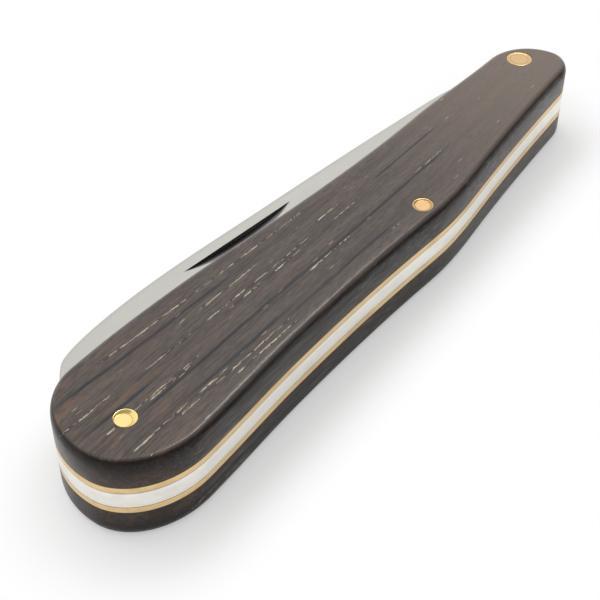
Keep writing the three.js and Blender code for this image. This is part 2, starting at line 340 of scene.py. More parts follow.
def cut(piece: bpy.types.Object, cutters: list[bpy.types.Object]) -> None:
    """Takes cutters away from a piece, keeps the result as its mesh and removes the cutters.

    Args:
        piece: the piece that is cut.
        cutters: closed solids that show what goes.
    """
    for cutter in cutters:
        modifier = piece.modifiers.new(cutter.name, "BOOLEAN")
        modifier.operation = "DIFFERENCE"
        modifier.solver = "EXACT"
        modifier.object = cutter
    ready = piece.evaluated_get(bpy.context.evaluated_depsgraph_get())
    old = piece.data
    new = bpy.data.meshes.new_from_object(ready)
    piece.modifiers.clear()
    piece.data = new
    new.name = piece.name
    bpy.data.meshes.remove(old)
    for cutter in cutters:
        bpy.data.meshes.remove(cutter.data)
    finish_shading(new)


@dataclass(frozen=True)
class Hole:
    """A round hole through a layer, with its rim broken where it comes out of the knife's face.

    Args:
        centre: the hole's axis.
        radius: its radius.
        chamfer: how far its rim is broken.
        over: how far the cutter runs past the layer.
    """

    centre: np.ndarray
    radius: float
    chamfer: float = 0.02
    over: float = 1.0

    def cutter(self, low: float, high: float, faces: tuple[bool, bool]) -> bpy.types.Object:
        """Makes the solid that cuts this hole.

        Args:
            low: the layer's lower face.
            high: its upper face.
            faces: whether the rim is broken at the lower and at the upper face.

        Returns:
            A rod that widens as a cone where it leaves a face.
        """
        profile = [(self.radius, low - self.over), (self.radius, high + self.over)]
        if faces[0]:
            profile[:1] = [
                (self.radius + self.chamfer + self.over, low - self.over),
                (self.radius + self.chamfer, low),
                (self.radius, low + self.chamfer),
            ]
        if faces[1]:
            profile[-1:] = [
                (self.radius, high - self.chamfer),
                (self.radius + self.chamfer, high),
                (self.radius + self.chamfer + self.over, high + self.over),
            ]
        return make_piece("hole", *revolve(np.array(profile), self.centre))


@dataclass(frozen=True)
class HandleOutline:
    """The outline that the scales, the liners and the spring share."""

    butt_reach: float = 5.97
    butt_rise: float = 0.2
    butt_front: float = 9.42
    butt_front_from: float = 2.0
    butt_back: float = 7.3
    butt_back_from: float = 3.6
    grip_back: float = 7.05
    grip_from: float = 19.0
    grip_slope: float = -0.5
    palm_back: float = 8.42
    palm_from: float = 48.6
    palm_entry: Offset = Offset(-7.0, 0.44, -4.5)
    palm_exit: Offset = Offset(8.4, 0.55, 5.4)
    nose_back: float = 6.35
    nose_back_from: float = 0.4
    nose_back_slope: float = 2.5
    nose_reach: float = 4.65
    nose_rise: float = -2.85
    nose_front: float = 3.58
    nose_front_from: float = -1.7
    nose_front_slope: float = 2.1
    waist_front: float = 4.68
    waist_from: float = 60.5
    waist_slope: float = 1.3
    shoulder_front: float = 7.45
    shoulder_from: float = 28.0
    shoulder_slope: float = 7.5
    count: int = 720

    def loop(self) -> np.ndarray:
        """Passes a line through the outline's places.

        Returns:
            The outline counter-clockwise from the end of the butt, in equal steps.
        """
        nose = float(datum.pivot[0])
        butt = Station(-self.butt_reach, self.butt_rise, -90)
        palm = Station(self.palm_from, -self.palm_back, 0)
        stations = [
            butt,
            Station(self.butt_back_from, -self.butt_back, 0),
            Station(self.grip_from, -self.grip_back, self.grip_slope),
            self.palm_entry.of(palm),
            palm,
            self.palm_exit.of(palm),
            Station(nose + self.nose_back_from, -self.nose_back, self.nose_back_slope),
            Station(nose + self.nose_reach, self.nose_rise, 90),
            Station(nose + self.nose_front_from, self.nose_front, 180 - self.nose_front_slope),
            Station(self.waist_from, self.waist_front, 180 - self.waist_slope),
            Station(self.shoulder_from, self.shoulder_front, 180 - self.shoulder_slope),
            Station(self.butt_front_from, self.butt_front, 180),
            butt,
        ]
        return evenly(line(stations), self.count + 1)[:-1]

    def back_edge(self, x: float) -> float:
        """Reads the back edge from the outline.

        Args:
            x: a place along the knife.

        Returns:
            The height y of the back edge there.
        """
        loop = self.loop()
        back = loop[(loop[:, 1] < self.nose_rise) & (loop[:, 0] > -self.butt_reach)]
        return float(np.interp(x, back[:, 0], back[:, 1]))


@dataclass(frozen=True)
class Roll:
    """How far a scale rolls over from its wall to its face: a quarter of an ellipse."""

    width: float
    depth: float


@dataclass
class Scale:
    """A wooden scale: a wall flush with the liner, then a roll up to its flat face."""

    side: Side
    outline: HandleOutline
    holes: list[Hole]
    butt: Roll = Roll(0.7, 1.35)
    flank: Roll = Roll(1.0, 0.9)
    nose: Roll = Roll(1.0, 1.2)
    flank_from: float = 10.0
    nose_start: float = 28.0
    nose_full: float = 62.0
    foot: float = 0.05
    foot_steps: int = 4
    roll_steps: int = 16
    margin: float = 0.25

    @property
    def node(self) -> str:
        """The CAD node that this scale stands for."""
        return f"{self.side.name.lower()}_scale"

    def roll_at(self, x: np.ndarray) -> tuple[np.ndarray, np.ndarray]:
        """Blends the three rolls along the knife.

        Args:
            x: places along the knife.

        Returns:
            The roll's width and its depth at each place.
        """
        to_flank = smoothstep(x, -self.outline.butt_reach, self.flank_from)
        to_nose = smoothstep(x, self.nose_start, self.nose_full)

        def blended(butt: float, flank: float, nose: float) -> np.ndarray:
            """Goes from the butt's value to the flank's and on to the nose's."""
            return mixed(mixed(butt, flank, to_flank), nose, to_nose)

        return (
            blended(self.butt.width, self.flank.width, self.nose.width),
            blended(self.butt.depth, self.flank.depth, self.nose.depth),
        )

    def rings(self, thickness: float) -> tuple[np.ndarray, np.ndarray]:
        """Works out the rings from the liner side to the face.

        A ring is the outline moved inward by an inset, at a height. Over the foot both follow a quarter
        circle, over the roll inset = width (1 - cos a) and height = thickness - depth (1 - sin a), and
        the last ring lies a margin inside the roll so that the face shades flat.

        Args:
            thickness: the scale's thickness.

        Returns:
            The rings' points, and how near the arris each one is, from 0 to 1.
        """
        loop = self.outline.loop()
        inward = inward_normals(loop)
        width, depth = self.roll_at(loop[:, 0])
        low = np.linspace(0, math.pi / 2, self.foot_steps)[:, None]
        high = np.linspace(0, math.pi / 2, self.roll_steps)[:, None]
        inset = np.vstack(
            [
                np.full((1, len(loop)), self.foot + self.margin),
                np.broadcast_to(self.foot * (1 - np.sin(low)), (self.foot_steps, len(loop))),
                width * (1 - np.cos(high)),
                [width + self.margin],
            ]
        )
        height = np.vstack(
            [
                np.zeros((1, len(loop))),
                np.broadcast_to(self.foot * (1 - np.cos(low)), (self.foot_steps, len(loop))),
                thickness - depth * (1 - np.sin(high)),
                np.full((1, len(loop)), thickness),
            ]
        )
        marks = np.vstack([np.zeros((1 + self.foot_steps, 1)), np.sin(high) ** 2, [[0.0]]])
        flat = loop[None] + inset[..., None] * inward[None]
        return np.dstack([flat, height]), np.broadcast_to(marks, height.shape)

    def build(self, finish: bpy.types.Material) -> bpy.types.Object:
        """Makes the scale, drills it for the pins and dresses it.

        Args:
            finish: its wood.

        Returns:
            The finished piece.
        """
        low, high = datum.heights(self.node)
        points, marks = self.rings(high - low)
        if self.side is Side.FRONT:
            points[..., 2] += low
        else:
            points[..., 2] = high - points[..., 2]
            points, marks = points[::-1], marks[::-1]
        faces = ring_faces(*points.shape[:2])
        piece = make_piece(self.node + "_wood", points.reshape(-1, 3), faces, marks.reshape(-1))
        outer = (self.side is Side.REAR, self.side is Side.FRONT)
        cut(piece, [hole.cutter(low, high, outer) for hole in self.holes])
        return dress(piece, self.node, Body.HANDLE, finish)


@dataclass
class Plate:
    """A flat piece of even thickness with its corners broken all round."""

    node: str
    name: str
    loop: np.ndarray
    holes: list[Hole]
    slot: Slot
    corner: float = 0.045
    corner_steps: int = 5
    margin: float = 0.15
    wall_rings: int = 3

    def build(self, finish: bpy.types.Material) -> bpy.types.Object:
        """Makes the plate, drills it and dresses it.

        A ring is the outline moved inward by c (1 - sin a) at a height of c (1 - cos a) from either
        face, where c is the corner, and the wall between the corners is straight.

        Args:
            finish: its metal.

        Returns:
            The finished piece.
        """
        low, high = datum.heights(self.node)
        turn = np.linspace(0, math.pi / 2, self.corner_steps)
        inset = self.corner * (1 - np.sin(turn))
        rise = self.corner * (1 - np.cos(turn))
        wall = np.linspace(low + self.corner, high - self.corner, self.wall_rings + 2)[1:-1]
        insets = np.concatenate([[self.margin], inset, np.zeros(len(wall)), inset[::-1], [self.margin]])
        heights = np.concatenate([[low], low + rise, wall, high - rise[::-1], [high]])
        inward = inward_normals(self.loop)
        flat = self.loop[None] + insets[:, None, None] * inward[None]
        points = np.dstack([flat, np.broadcast_to(heights[:, None], flat.shape[:2])])
        near = np.concatenate([[0], np.sin(turn * 2), np.zeros(len(wall)), np.sin(turn[::-1] * 2), [0]])
        marks = np.broadcast_to(near[:, None], flat.shape[:2])
        piece = make_piece(self.name, points.reshape(-1, 3), ring_faces(*points.shape[:2]), marks.reshape(-1))
        cut(piece, [hole.cutter(low, high, (False, False)) for hole in self.holes])
        return dress(piece, self.node, Body.HANDLE, finish)


@dataclass(frozen=True)
class SpringShape:
    """The back spring's outline: the handle's back and butt, and the edge of the well inside them."""

    outline: HandleOutline
    tang_flat: float = 3.1
    seat: float = 0.05
    shoulder_reach: float = 3.0
    kick_reach: float = 8.0
    work: float = 2.85
    work_from: float = 57.0
    boss: float = 2.45
    cheek_drop: float = 0.35
    cheek_slope: float = 20.0
    waist: float = 3.2
    waist_from: float = 31.0
    foot: float = 3.6
    foot_from: float = 19.0
    foot_slope: float = 8.0
    block_reach: float = 7.4
    block_slope: float = 47.0
    tip_gap: float = 1.3
    tip_gap_slope: float = 40.0
    lip_rise: float = 2.0
    lip_slope: float = 15.0
    count: int = 900

    def well_edge(self, tip: np.ndarray) -> np.ndarray:
        """Gives the spring's inner edge from its seat on the tang to past the butt's front edge.

        Args:
            tip: the folded blade's tip.

        Returns:
            The points of that edge.
        """
        back = self.outline.back_edge
        boss = Station(datum.spring_pin[0], datum.spring_pin[1] + self.boss, 180)
        past_butt = -self.outline.butt_reach - self.lip_rise
        return line(
            [
                Station(datum.pivot[0] - self.kick_reach, -self.tang_flat - self.seat, 180),
                Station(self.work_from, back(self.work_from) + self.work, 180),
                Offset(self.boss, -self.cheek_drop, 180 - self.cheek_slope).of(boss),
                boss,
                Offset(-self.boss, -self.cheek_drop, 180 + self.cheek_slope).of(boss),
                Station(self.waist_from, back(self.waist_from) + self.waist, 180),
                Station(self.foot_from, back(self.foot_from) + self.foot, 180 - self.foot_slope),
                Station(self.block_reach, 0, 180 - self.block_slope),
                Station(tip[0] - self.tip_gap / 2, tip[1] - self.tip_gap, 180 - self.tip_gap_slope),
                Station(past_butt, tip[1] + self.lip_rise, 180 - self.lip_slope),
            ]
        )

    def loop(self, tip: np.ndarray) -> np.ndarray:
        """Joins the handle's outline to the well's edge.

        Args:
            tip: the folded blade's tip.

        Returns:
            The closed outline, counter-clockwise, in equal steps.
        """
        handle = self.outline.loop()
        end = datum.pivot[0] + self.shoulder_reach - self.seat
        edge = self.well_edge(tip)
        edge = edge[inside(edge, handle)]
        meets = int(np.argmin(np.linalg.norm(handle - edge[-1], axis=1)))
        stays = handle[np.arange(meets + 1 - len(handle), int(np.argmax(handle[:, 0])))]
        butt_on = np.vstack([stays[stays[:, 0] < end], [end, self.outline.back_edge(end)]])
        closed = np.vstack([butt_on, [end, -self.tang_flat - self.seat], edge, butt_on[:1]])
        return evenly(closed, self.count + 1)[:-1]


@dataclass
class Blade:
    """The blade with its tang, as one grid: columns run from the tang's round end to the tip.

    Every column is a closed section: the spine's flat and rounded corners, the flat of the blade, the
    grind below it and the edge.
    """

    outline: HandleOutline
    swing: float = 173.0
    tang_flat: float = 3.1
    cam: float = 3.5
    seat: float = 0.05
    shoulder_reach: float = 3.0
    kick_reach: float = 8.0
    kick_slope: float = -70.0
    choil_length: float = 3.0
    choil_height: float = 3.8
    choil_dip_from: float = 1.35
    choil_dip: float = 0.35
    tip_past: float = 0.5
    tip_height: float = 1.2
    tip_flat: float = 0.16
    spine_height: float = 7.1
    spine_from: float = 43.0
    shoulder_spine: float = 6.6
    root_slope: float = -2.0
    spine_fall: Offset = Offset(-12.0, 0.7, 7.0)
    spine_point: Offset = Offset(-4.0, -4.35, 42.0)
    tip_spine_slope: float = 60.0
    edge_middle: float = 5.6
    edge_slope: float = 2.8
    edge_drop: float = 6.2
    belly: float = 20.0
    belly_turn: Offset = Offset(-7.0, -2.1, -18.0)
    tip_edge_slope: float = -30.0
    grind_height: float = 0.6
    grind_fall: Offset = Offset(-14.0, 0.2, 2.0)
    grind_point: Offset = Offset(-3.7, -0.9, 10.0)
    plunge: float = 2.5
    plunge_lead: float = 0.2
    keen: float = 0.03
    bevel: float = 0.35
    bevel_thick: float = 0.09
    corner: float = 0.09
    nick_from: float = 48.3
    nick_length: float = 18.0
    nick_width: float = 1.8
    nick_depth: float = 0.7
    nick_inset: float = 1.5
    nick_steps: int = 121
    pivot_fit: float = 0.05
    seam_reach: float = 0.15
    columns: int = 420
    round_columns: int = 40
    tang_columns: int = 10
    corner_steps: int = 6
    face_steps: int = 14
    grind_steps: int = 26

    @property
    def tip_reach(self) -> float:
        """Gives the tip's distance from the pivot."""
        return float(datum.pivot[0]) + self.tip_past

    def folded(self, points: np.ndarray) -> np.ndarray:
        """Turns points of the blade's frame about the pivot into their folded place.

        Args:
            points: rows of x and y, or x, y and z from the blade's middle.

        Returns:
            The same rows in the pin frame.
        """
        angle = math.radians(self.swing)
        turned = points.copy()
        turned[..., 0] = points[..., 0] * math.cos(angle) - points[..., 1] * math.sin(angle) + datum.pivot[0]
        turned[..., 1] = points[..., 0] * math.sin(angle) + points[..., 1] * math.cos(angle) + datum.pivot[1]
        return turned

    def folded_flat(self, x: np.ndarray | float) -> np.ndarray | float:
        """Gives the height of the flat that the spring rests on when the blade is folded."""
        lean = math.radians(180 - self.swing)
        return (self.tang_flat + x * math.sin(lean)) / math.cos(lean)

    def lines(self, x: np.ndarray) -> dict[str, np.ndarray]:
        """Works out the blade's lines at places along it.

        Args:
            x: places from the pivot.

        Returns:
            The spine's, grind line's and edge's heights, and the share by which the grind is cut.
        """
        tip = Station(self.tip_reach, self.tip_height, 0)
        shoulder = self.outline.back_edge(datum.pivot[0] + self.shoulder_reach - self.seat)
        lean = math.radians(180 - self.swing)
        kick = self.kick_reach * math.cos(lean) - self.tang_flat * math.sin(lean)
        start = kick + self.choil_length
        leave = 2 * (-self.shoulder_spine - shoulder) / (start - self.shoulder_reach)
        spine = line(
            [
                Station(self.shoulder_reach, shoulder, math.degrees(math.atan(leave))),
                Station(start, -self.shoulder_spine, self.root_slope),
                Station(self.spine_from, -self.spine_height, 0),
                self.spine_fall.of(Station(tip.x, -self.spine_height, 0)),
                self.spine_point.of(Station(tip.x, 0, 0)),
                Station(tip.x, tip.y - self.tip_flat, self.tip_spine_slope),
            ]
        )
        grind = line(
            [
                Station(start + self.plunge, -self.grind_height, 0),
                Station(self.spine_from, -self.grind_height, 0),
                self.grind_fall.of(Station(tip.x, -self.grind_height, 0)),
                self.grind_point.of(tip),
                Station(tip.x, tip.y - self.tip_flat / 2, 2 * self.grind_point.heading),
            ]
        )
        edge = line(
            [
                Station(kick, float(self.folded_flat(kick)), self.kick_slope),
                Station(kick + self.choil_dip_from, self.choil_height - self.choil_dip, 0),
                Station(start, self.choil_height, self.edge_slope),
                Station(self.spine_from, self.edge_middle, self.edge_slope),
                Station(tip.x - self.belly, self.edge_drop, 0),
                self.belly_turn.of(Station(tip.x, self.edge_drop, 0)),
                Station(tip.x, tip.y, self.tip_edge_slope),
            ]
        )
        round_end = np.sqrt(np.clip(self.cam**2 - x**2, 0, None))
        behind = x < self.shoulder_reach
        top = np.where(behind, -np.minimum(round_end, self.tang_flat), np.interp(x, *spine.T))
        flat = np.where(x < kick, self.folded_flat(x), np.interp(x, *edge.T))
        bottom = np.where(x < 0, np.minimum(round_end, flat), flat)
        return {
            "top": top,
            "bottom": bottom,
            "grind": np.clip(np.interp(x, *grind.T), top, bottom),
            "cut": smoothstep(x, start - self.plunge_lead, start + self.plunge),
        }

    def stations(self) -> np.ndarray:
        """Places the columns: close at the tang's round end, twice at the shoulder, then even.

        Returns:
            Their distances from the pivot, in rising order.
        """
        turn = np.linspace(math.pi, math.pi / 2, self.round_columns)
        shoulder = self.shoulder_reach
        round_end = self.cam * np.cos(turn)
        tang = np.linspace(0.2, shoulder - 1e-6, self.tang_columns)
        ahead = np.linspace(shoulder, self.tip_reach, self.columns)
        return np.concatenate([round_end, tang, ahead])

    def section(self, x: np.ndarray, half: float) -> tuple[np.ndarray, np.ndarray]:
        """Works out one side of every column, from the middle of the spine to the edge.

        The corner at the spine is a quarter circle. The flat of the blade keeps the half thickness, and
        below the grind line it falls straight to the bevel's thickness and then to the keen edge. Where
        nothing is ground the lower corner is a quarter circle too.

        Args:
            x: the columns' places.
            half: half the blade's thickness.

        Returns:
            The heights y and thicknesses z, one column per row.
        """
        at = {key: value[:, None] for key, value in self.lines(x).items()}
        depth = at["bottom"] - at["top"]
        corner = np.minimum(self.corner, depth / 5)
        turn = np.linspace(0, math.pi / 2, self.corner_steps)[None]
        spine_y = at["top"] + corner * (1 - np.cos(turn))
        spine_z = half - corner * (1 - np.sin(turn))
        face_from, face_to = spine_y[:, -1:], np.clip(at["grind"], spine_y[:, -1:], at["bottom"] - corner)
        face_y = mixed(face_from, face_to, np.linspace(0, 1, self.face_steps)[None, 1:])
        face_z = np.full_like(face_y, half)
        bevel = np.minimum(self.bevel * at["cut"] + corner * (1 - at["cut"]), depth / 4)
        thick = mixed(half, self.bevel_thick, at["cut"])
        grind_to = np.maximum(at["bottom"] - bevel, face_to)
        share = np.linspace(0, 1, self.grind_steps)[None, 1:]
        grind_y = mixed(face_to, grind_to, share)
        grind_z = mixed(half, thick, share)
        round_y = at["bottom"] - bevel * np.cos(turn)
        end_y = mixed(round_y, mixed(grind_to, at["bottom"], np.sin(turn)), at["cut"])
        round_z = half - corner * (1 - np.cos(turn))
        end_z = mixed(round_z, mixed(thick, self.keen / 2, np.sin(turn)), at["cut"])
        y = np.hstack([at["top"], spine_y, face_y, grind_y, end_y[:, 1:]])
        z = np.hstack([np.zeros_like(at["top"]), spine_z, face_z, grind_z, end_z[:, 1:]])
        return y, z

    def nick_cutter(self, face: float) -> bpy.types.Object:
        """Makes the solid that cuts the nail nick.

        Along the nick, s goes from -1 to 1. Its floor lies depth (1 - s^2) deep at the wall on the
        spine's side, and rises evenly to the blade's face towards the edge.

        Args:
            face: Z of the blade's front face.

        Returns:
            The cutter, with a section of four corners.
        """
        over, lid = 1.1, 1.0
        s = np.linspace(-over, over, self.nick_steps)
        wall = np.full_like(s, self.nick_inset - self.spine_height)
        floor = face - self.nick_depth * (1 - s**2)
        x = self.nick_from + s * self.nick_length / 2
        far = wall + over * self.nick_width
        top = np.full_like(s, face + lid)
        corners = [(wall, floor), (far, floor + over * self.nick_depth), (far, top), (wall, top)]
        points = np.stack([np.column_stack([x, y, z]) for y, z in corners], axis=1)
        return make_piece("nick", self.folded(points).reshape(-1, 3), ring_faces(len(s), 4))

    def build(self, finish: bpy.types.Material) -> bpy.types.Object:
        """Makes the blade folded, cuts its nick and its pivot hole, and dresses it.

        Args:
            finish: its steel.

        Returns:
            The finished piece.
        """
        low, high = datum.heights("blade")
        middle, half = (low + high) / 2, (high - low) / 2
        x = self.stations()
        y, z = self.section(x, half)
        y_round = np.hstack([y, y[:, -1:], y[:, :0:-1]])
        z_round = np.hstack([z, 0 * z[:, :1], -z[:, :0:-1]])
        points = np.dstack([np.broadcast_to(x[:, None], y_round.shape), y_round, z_round + middle])
        off_spine = y_round - y_round.min(axis=1, keepdims=True)
        near = np.exp(-((off_spine / self.seam_reach) ** 2))
        piece = make_piece(
            "blade_steel", self.folded(points).reshape(-1, 3), ring_faces(*points.shape[:2]), near.reshape(-1)
        )
        pin_low, pin_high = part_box("pivot_pin")
        hole = Hole(datum.pivot, (pin_high[0] - pin_low[0]) / MM / 2 + self.pivot_fit)
        cut(piece, [hole.cutter(low, high, (False, False)), self.nick_cutter(high)])
        return dress(piece, "blade", Body.BLADE, finish)


@dataclass
class Pin:
    """A brass pin through all layers, whose ends are peened flush with a shallow struck dish."""

    node: str
    offset: tuple[float, float] = (0.0, 0.0)
    dish: float = 0.10
    disc: float = 0.70
    rim: float = 0.95
    ring: float = 0.06
    edge: float = 0.03
    first: float = 0.004
    steps: int = 40

    def axis(self) -> tuple[np.ndarray, float, float, float]:
        """Reads the pin from its CAD node.

        Returns:
            Its axis' place, its radius and the heights of its ends.
        """
        low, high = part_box(self.node)
        centre = np.array([(low[k] + high[k]) / 2 for k in (0, 1)])
        place = (centre - np.array(datum.origin)[:2]) / MM
        return place, (high[0] - low[0]) / MM / 2, low[2] / MM, high[2] / MM

    def hole(self, fit: float) -> Hole:
        """Gives the hole that this pin fits with a clearance on the radius."""
        place, radius, _, _ = self.axis()
        return Hole(place, radius + fit)

    def build(self, finish: bpy.types.Material) -> bpy.types.Object:
        """Makes the pin and dresses it.

        The end lies below its rim by the dish's depth times a smooth step that falls from 1 at the
        disc's edge to 0 at the rim, and the rim's corner is a quarter round. The disc lies off the axis
        by an offset that fades out to the rim.

        Args:
            finish: its brass.

        Returns:
            The finished piece.
        """
        place, radius, low, high = self.axis()
        share = np.linspace(self.first, 1, self.steps)
        past_edge = np.clip((share * radius - radius + self.edge) / self.edge, 0, 1)
        round_off = self.edge * (1 - np.sqrt(1 - past_edge**2))
        depth = self.dish * (1 - smoothstep(share, self.disc, self.rim)) + round_off
        lower = np.column_stack([share * radius, low + depth])
        upper = np.column_stack([share * radius, high - depth])[::-1]
        points, faces = revolve(np.vstack([lower, upper]), place)
        near = np.concatenate([share, share[::-1]])
        slide = np.array(self.offset) * (1 - smoothstep(near, self.disc, 1))[:, None]
        points.reshape(len(near), -1, 3)[:, :, :2] += slide[:, None]
        # The edge mark is a ring at the disc's edge; the finish darkens it there as painted shade.
        marks = np.repeat(np.clip(1 - abs(near - self.disc) / self.ring, 0, 1), len(points) // len(near))
        piece = make_piece(self.node + "_brass", points, faces, marks)
        return dress(piece, self.node, Body.HANDLE, finish)


def dress(
    piece: bpy.types.Object, node: str, body: Body, finish: bpy.types.Material
) -> bpy.types.Object:
    """Gives a piece its finish and its body, and hides the CAD node that it stands for.

    Args:
        piece: the piece.
        node: the CAD node.
        body: the body that it rides on.
        finish: its material.

    Returns:
        The same piece.
    """
    piece.data.materials.clear()
    piece.data.materials.append(finish)
    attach(piece, body.value)
    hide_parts(node)
    log.info("%s: %d faces, rides on %s", piece.name, len(piece.data.polygons), body.value)
    return piece


Colour = tuple[float, float, float]
Socket = bpy.types.NodeSocket


class Graph:
    """Adds nodes to one tree and joins them, so that a finish reads as a list of steps."""

    def __init__(self, tree: bpy.types.NodeTree) -> None:
        """Starts on an empty tree."""
        self.tree = tree
        tree.nodes.clear()

    def node(self, kind: str, inputs: dict[Any, Any] | None = None, **settings: Any) -> bpy.types.Node:
        """Adds a node.

        Args:
            kind: the node's type, without ShaderNode.
            inputs: values or sockets for its inputs, by name or number.
            settings: values for its properties.

        Returns:
            The node.
        """
        made = self.tree.nodes.new("ShaderNode" + kind)
        for key, value in settings.items():
            setattr(made, key, value)
        for key, value in (inputs or {}).items():
            self.feed(made.inputs[key], value)
        return made

    def feed(self, socket: Socket, value: Any) -> None:
        """Links a socket to another one, or sets its value.

        Args:
            socket: the socket that is fed.
            value: a socket, a number, a vector or a colour.
        """
        if isinstance(value, Socket):
            self.tree.links.new(value, socket)
        elif socket.type == "RGBA" and len(value) == 3:
            socket.default_value = (*value, 1.0)
        else:
            socket.default_value = value

    def math(self, operation: str, *values: Any) -> Socket:
        """Adds a Math node and gives its output."""
        return self.node("Math", dict(enumerate(values)), operation=operation).outputs[0]

    def between(self, value: Any, low: Any, high: Any) -> Socket:
        """Gives a smooth step from 0 at low to 1 at high."""
        made = self.node("MapRange", {0: value, 1: low, 2: high}, interpolation_type="SMOOTHSTEP")
        return made.outputs[0]

    def mix(self, share: Any, a: Any, b: Any) -> Socket:
        """Mixes two colours.

        Args:
            share: how much of the second one there is.
            a: the first colour.
            b: the second colour.

        Returns:
            The mixed colour's socket.
        """
        return self.node("Mix", {0: share, 6: a, 7: b}, data_type="RGBA").outputs[2]

    def ramp(self, value: Any, stops: list[tuple[float, Colour]], low: float, high: float) -> Socket:
        """Gives a colour by a value, from stops in the value's own unit.

        Args:
            value: the socket that chooses.
            stops: places and their colours.
            low: the value at the ramp's start.
            high: the value at its end.

        Returns:
            The colour's socket.
        """
        share = self.node("MapRange", {0: value, 1: low, 2: high}).outputs[0]
        made = self.node("ValToRGB", {0: share})
        elements = made.color_ramp.elements
        while len(elements) < len(stops):
            elements.new(0.5)
        for element, (place, colour) in zip(elements, sorted(stops)):
            element.position = (place - low) / (high - low)
            element.color = (*colour, 1.0)
        return made.outputs[0]

    def group(self, tree: bpy.types.NodeTree, **inputs: Any) -> bpy.types.Node:
        """Places a node group.

        Args:
            tree: the group.
            inputs: values or sockets for its inputs, by name.

        Returns:
            The group's node.
        """
        made = self.node("Group", node_tree=tree)
        for key, value in inputs.items():
            self.feed(made.inputs[key], value)
        return made


FLOAT = "NodeSocketFloat"
VECTOR = "NodeSocketVector"


def new_group(
    name: str, inputs: dict[str, str], outputs: dict[str, str]
) -> tuple[bpy.types.NodeTree, Graph, Any]:
    """Starts a shader node group.

    Args:
        name: its name.
        inputs: its inputs' names and types.
        outputs: its outputs' names and types.

    Returns:
        The group, a graph to fill it, and its inputs' sockets by name.
    """
    tree = bpy.data.node_groups.new(name, "ShaderNodeTree")
    graph = Graph(tree)
    for key, kind in inputs.items():
        tree.interface.new_socket(name=key, in_out="INPUT", socket_type=kind)
    for key, kind in outputs.items():
        tree.interface.new_socket(name=key, in_out="OUTPUT", socket_type=kind)
    given = tree.nodes.new("NodeGroupInput").outputs
    return tree, graph, given


def close_group(graph: Graph, **results: Any) -> None:
    """Joins a group's results to its outputs.

    Args:
        graph: the group's graph.
        results: the sockets, by the outputs' names.
    """
    end = graph.tree.nodes.new("NodeGroupOutput")
    for key, value in results.items():
        graph.feed(end.inputs[key], value)


def drawn_out(graph: Graph, given: Any) -> Socket:
    """Draws a pattern out along X, so that one step of its noise is a length by a width.

    Args:
        graph: the group's graph.
        given: the group's inputs Vector, Length, Width and Seed.

    Returns:
        The coordinates for the noise, moved by the seed.
    """
    sides = {0: given["Length"], 1: given["Width"], 2: given["Width"]}
    size = graph.node("CombineXYZ", sides).outputs[0]
    shrunk = graph.node("VectorMath", {0: given["Vector"], 1: size}, operation="DIVIDE").outputs[0]
    return graph.node("VectorMath", {0: shrunk, 1: given["Seed"]}, operation="ADD").outputs[0]


class Effects:
    """Node groups that more than one finish uses."""

    def __init__(self) -> None:
        """Builds each group once."""
        self.fibres = self.make_fibres()
        self.flecks = self.make_flecks()
        self.wear_and_painted_light = self.make_wear_and_painted_light()
        self.streak = self.make_streak()

    def make_fibres(self) -> bpy.types.NodeTree:
        """Makes long soft lines: noise on coordinates that are drawn out along X.

        Returns:
            The group.
        """
        tree, graph, given = new_group(
            "fibres",
            {"Vector": VECTOR, "Length": FLOAT, "Width": FLOAT, "Detail": FLOAT, "Seed": FLOAT},
            {"Value": FLOAT},
        )
        settings = {"Scale": 1.0, "Detail": given["Detail"], "Roughness": 0.6}
        noise = graph.node("TexNoise", {"Vector": drawn_out(graph, given), **settings})
        close_group(graph, Value=noise.outputs[0])
        return tree

    def make_flecks(self) -> bpy.types.NodeTree:
        """Makes short thin marks: the cores of drawn-out cells, on a share of the cells only.

        Returns:
            The group.
        """
        tree, graph, given = new_group(
            "flecks",
            {"Vector": VECTOR, "Length": FLOAT, "Width": FLOAT, "Share": FLOAT, "Core": FLOAT, "Seed": FLOAT},
            {"Mask": FLOAT, "Tone": FLOAT},
        )
        settings = {"Scale": 1.0, "Randomness": 1.0}
        cells = graph.node("TexVoronoi", {"Vector": drawn_out(graph, given), **settings})
        chance = graph.node("SeparateColor", {0: cells.outputs["Color"]})
        solid = graph.math("MULTIPLY", given["Core"], 0.45)
        near = graph.between(cells.outputs["Distance"], given["Core"], solid)
        chosen = graph.math("LESS_THAN", chance.outputs[0], given["Share"])
        close_group(graph, Mask=graph.math("MULTIPLY", near, chosen), Tone=chance.outputs[1])
        return tree

    def make_wear_and_painted_light(self) -> bpy.types.NodeTree:
        """Makes a broken mask along an edge: the edge's mark, eaten away by soft noise.

        Returns:
            The group.
        """
        tree, graph, given = new_group(
            "edge_wear_and_painted_light", {"Vector": VECTOR, "Edge": FLOAT, "Amount": FLOAT, "Grain": FLOAT}, {"Mask": FLOAT}
        )
        settings = {"Vector": given["Vector"], "Scale": given["Grain"], "Detail": 3.0}
        noise = graph.node("TexNoise", settings)
        kept = graph.between(noise.outputs[0], 0.35, 0.65)
        mask = graph.math("MULTIPLY", graph.math("MULTIPLY", given["Edge"], given["Amount"]), kept)
        close_group(graph, Mask=mask)
        return tree

    def make_streak(self) -> bpy.types.NodeTree:
        """Makes one line of the grain: a band about a level of w, from one place along X to another.

        Returns:
            The group.
        """
        inputs = ("W", "X", "Level", "Start", "End", "Half", "Fade")
        tree, graph, given = new_group("streak", dict.fromkeys(inputs, FLOAT), {"Mask": FLOAT})
        away = graph.math("ABSOLUTE", graph.math("SUBTRACT", given["W"], given["Level"]))
        across = graph.between(away, given["Half"], graph.math("MULTIPLY", given["Half"], 0.2))
        begins = graph.between(given["X"], given["Start"], graph.math("ADD", given["Start"], given["Fade"]))
        ends = graph.between(given["X"], given["End"], graph.math("SUBTRACT", given["End"], given["Fade"]))
        close_group(graph, Mask=graph.math("MULTIPLY", across, graph.math("MULTIPLY", begins, ends)))
        return tree


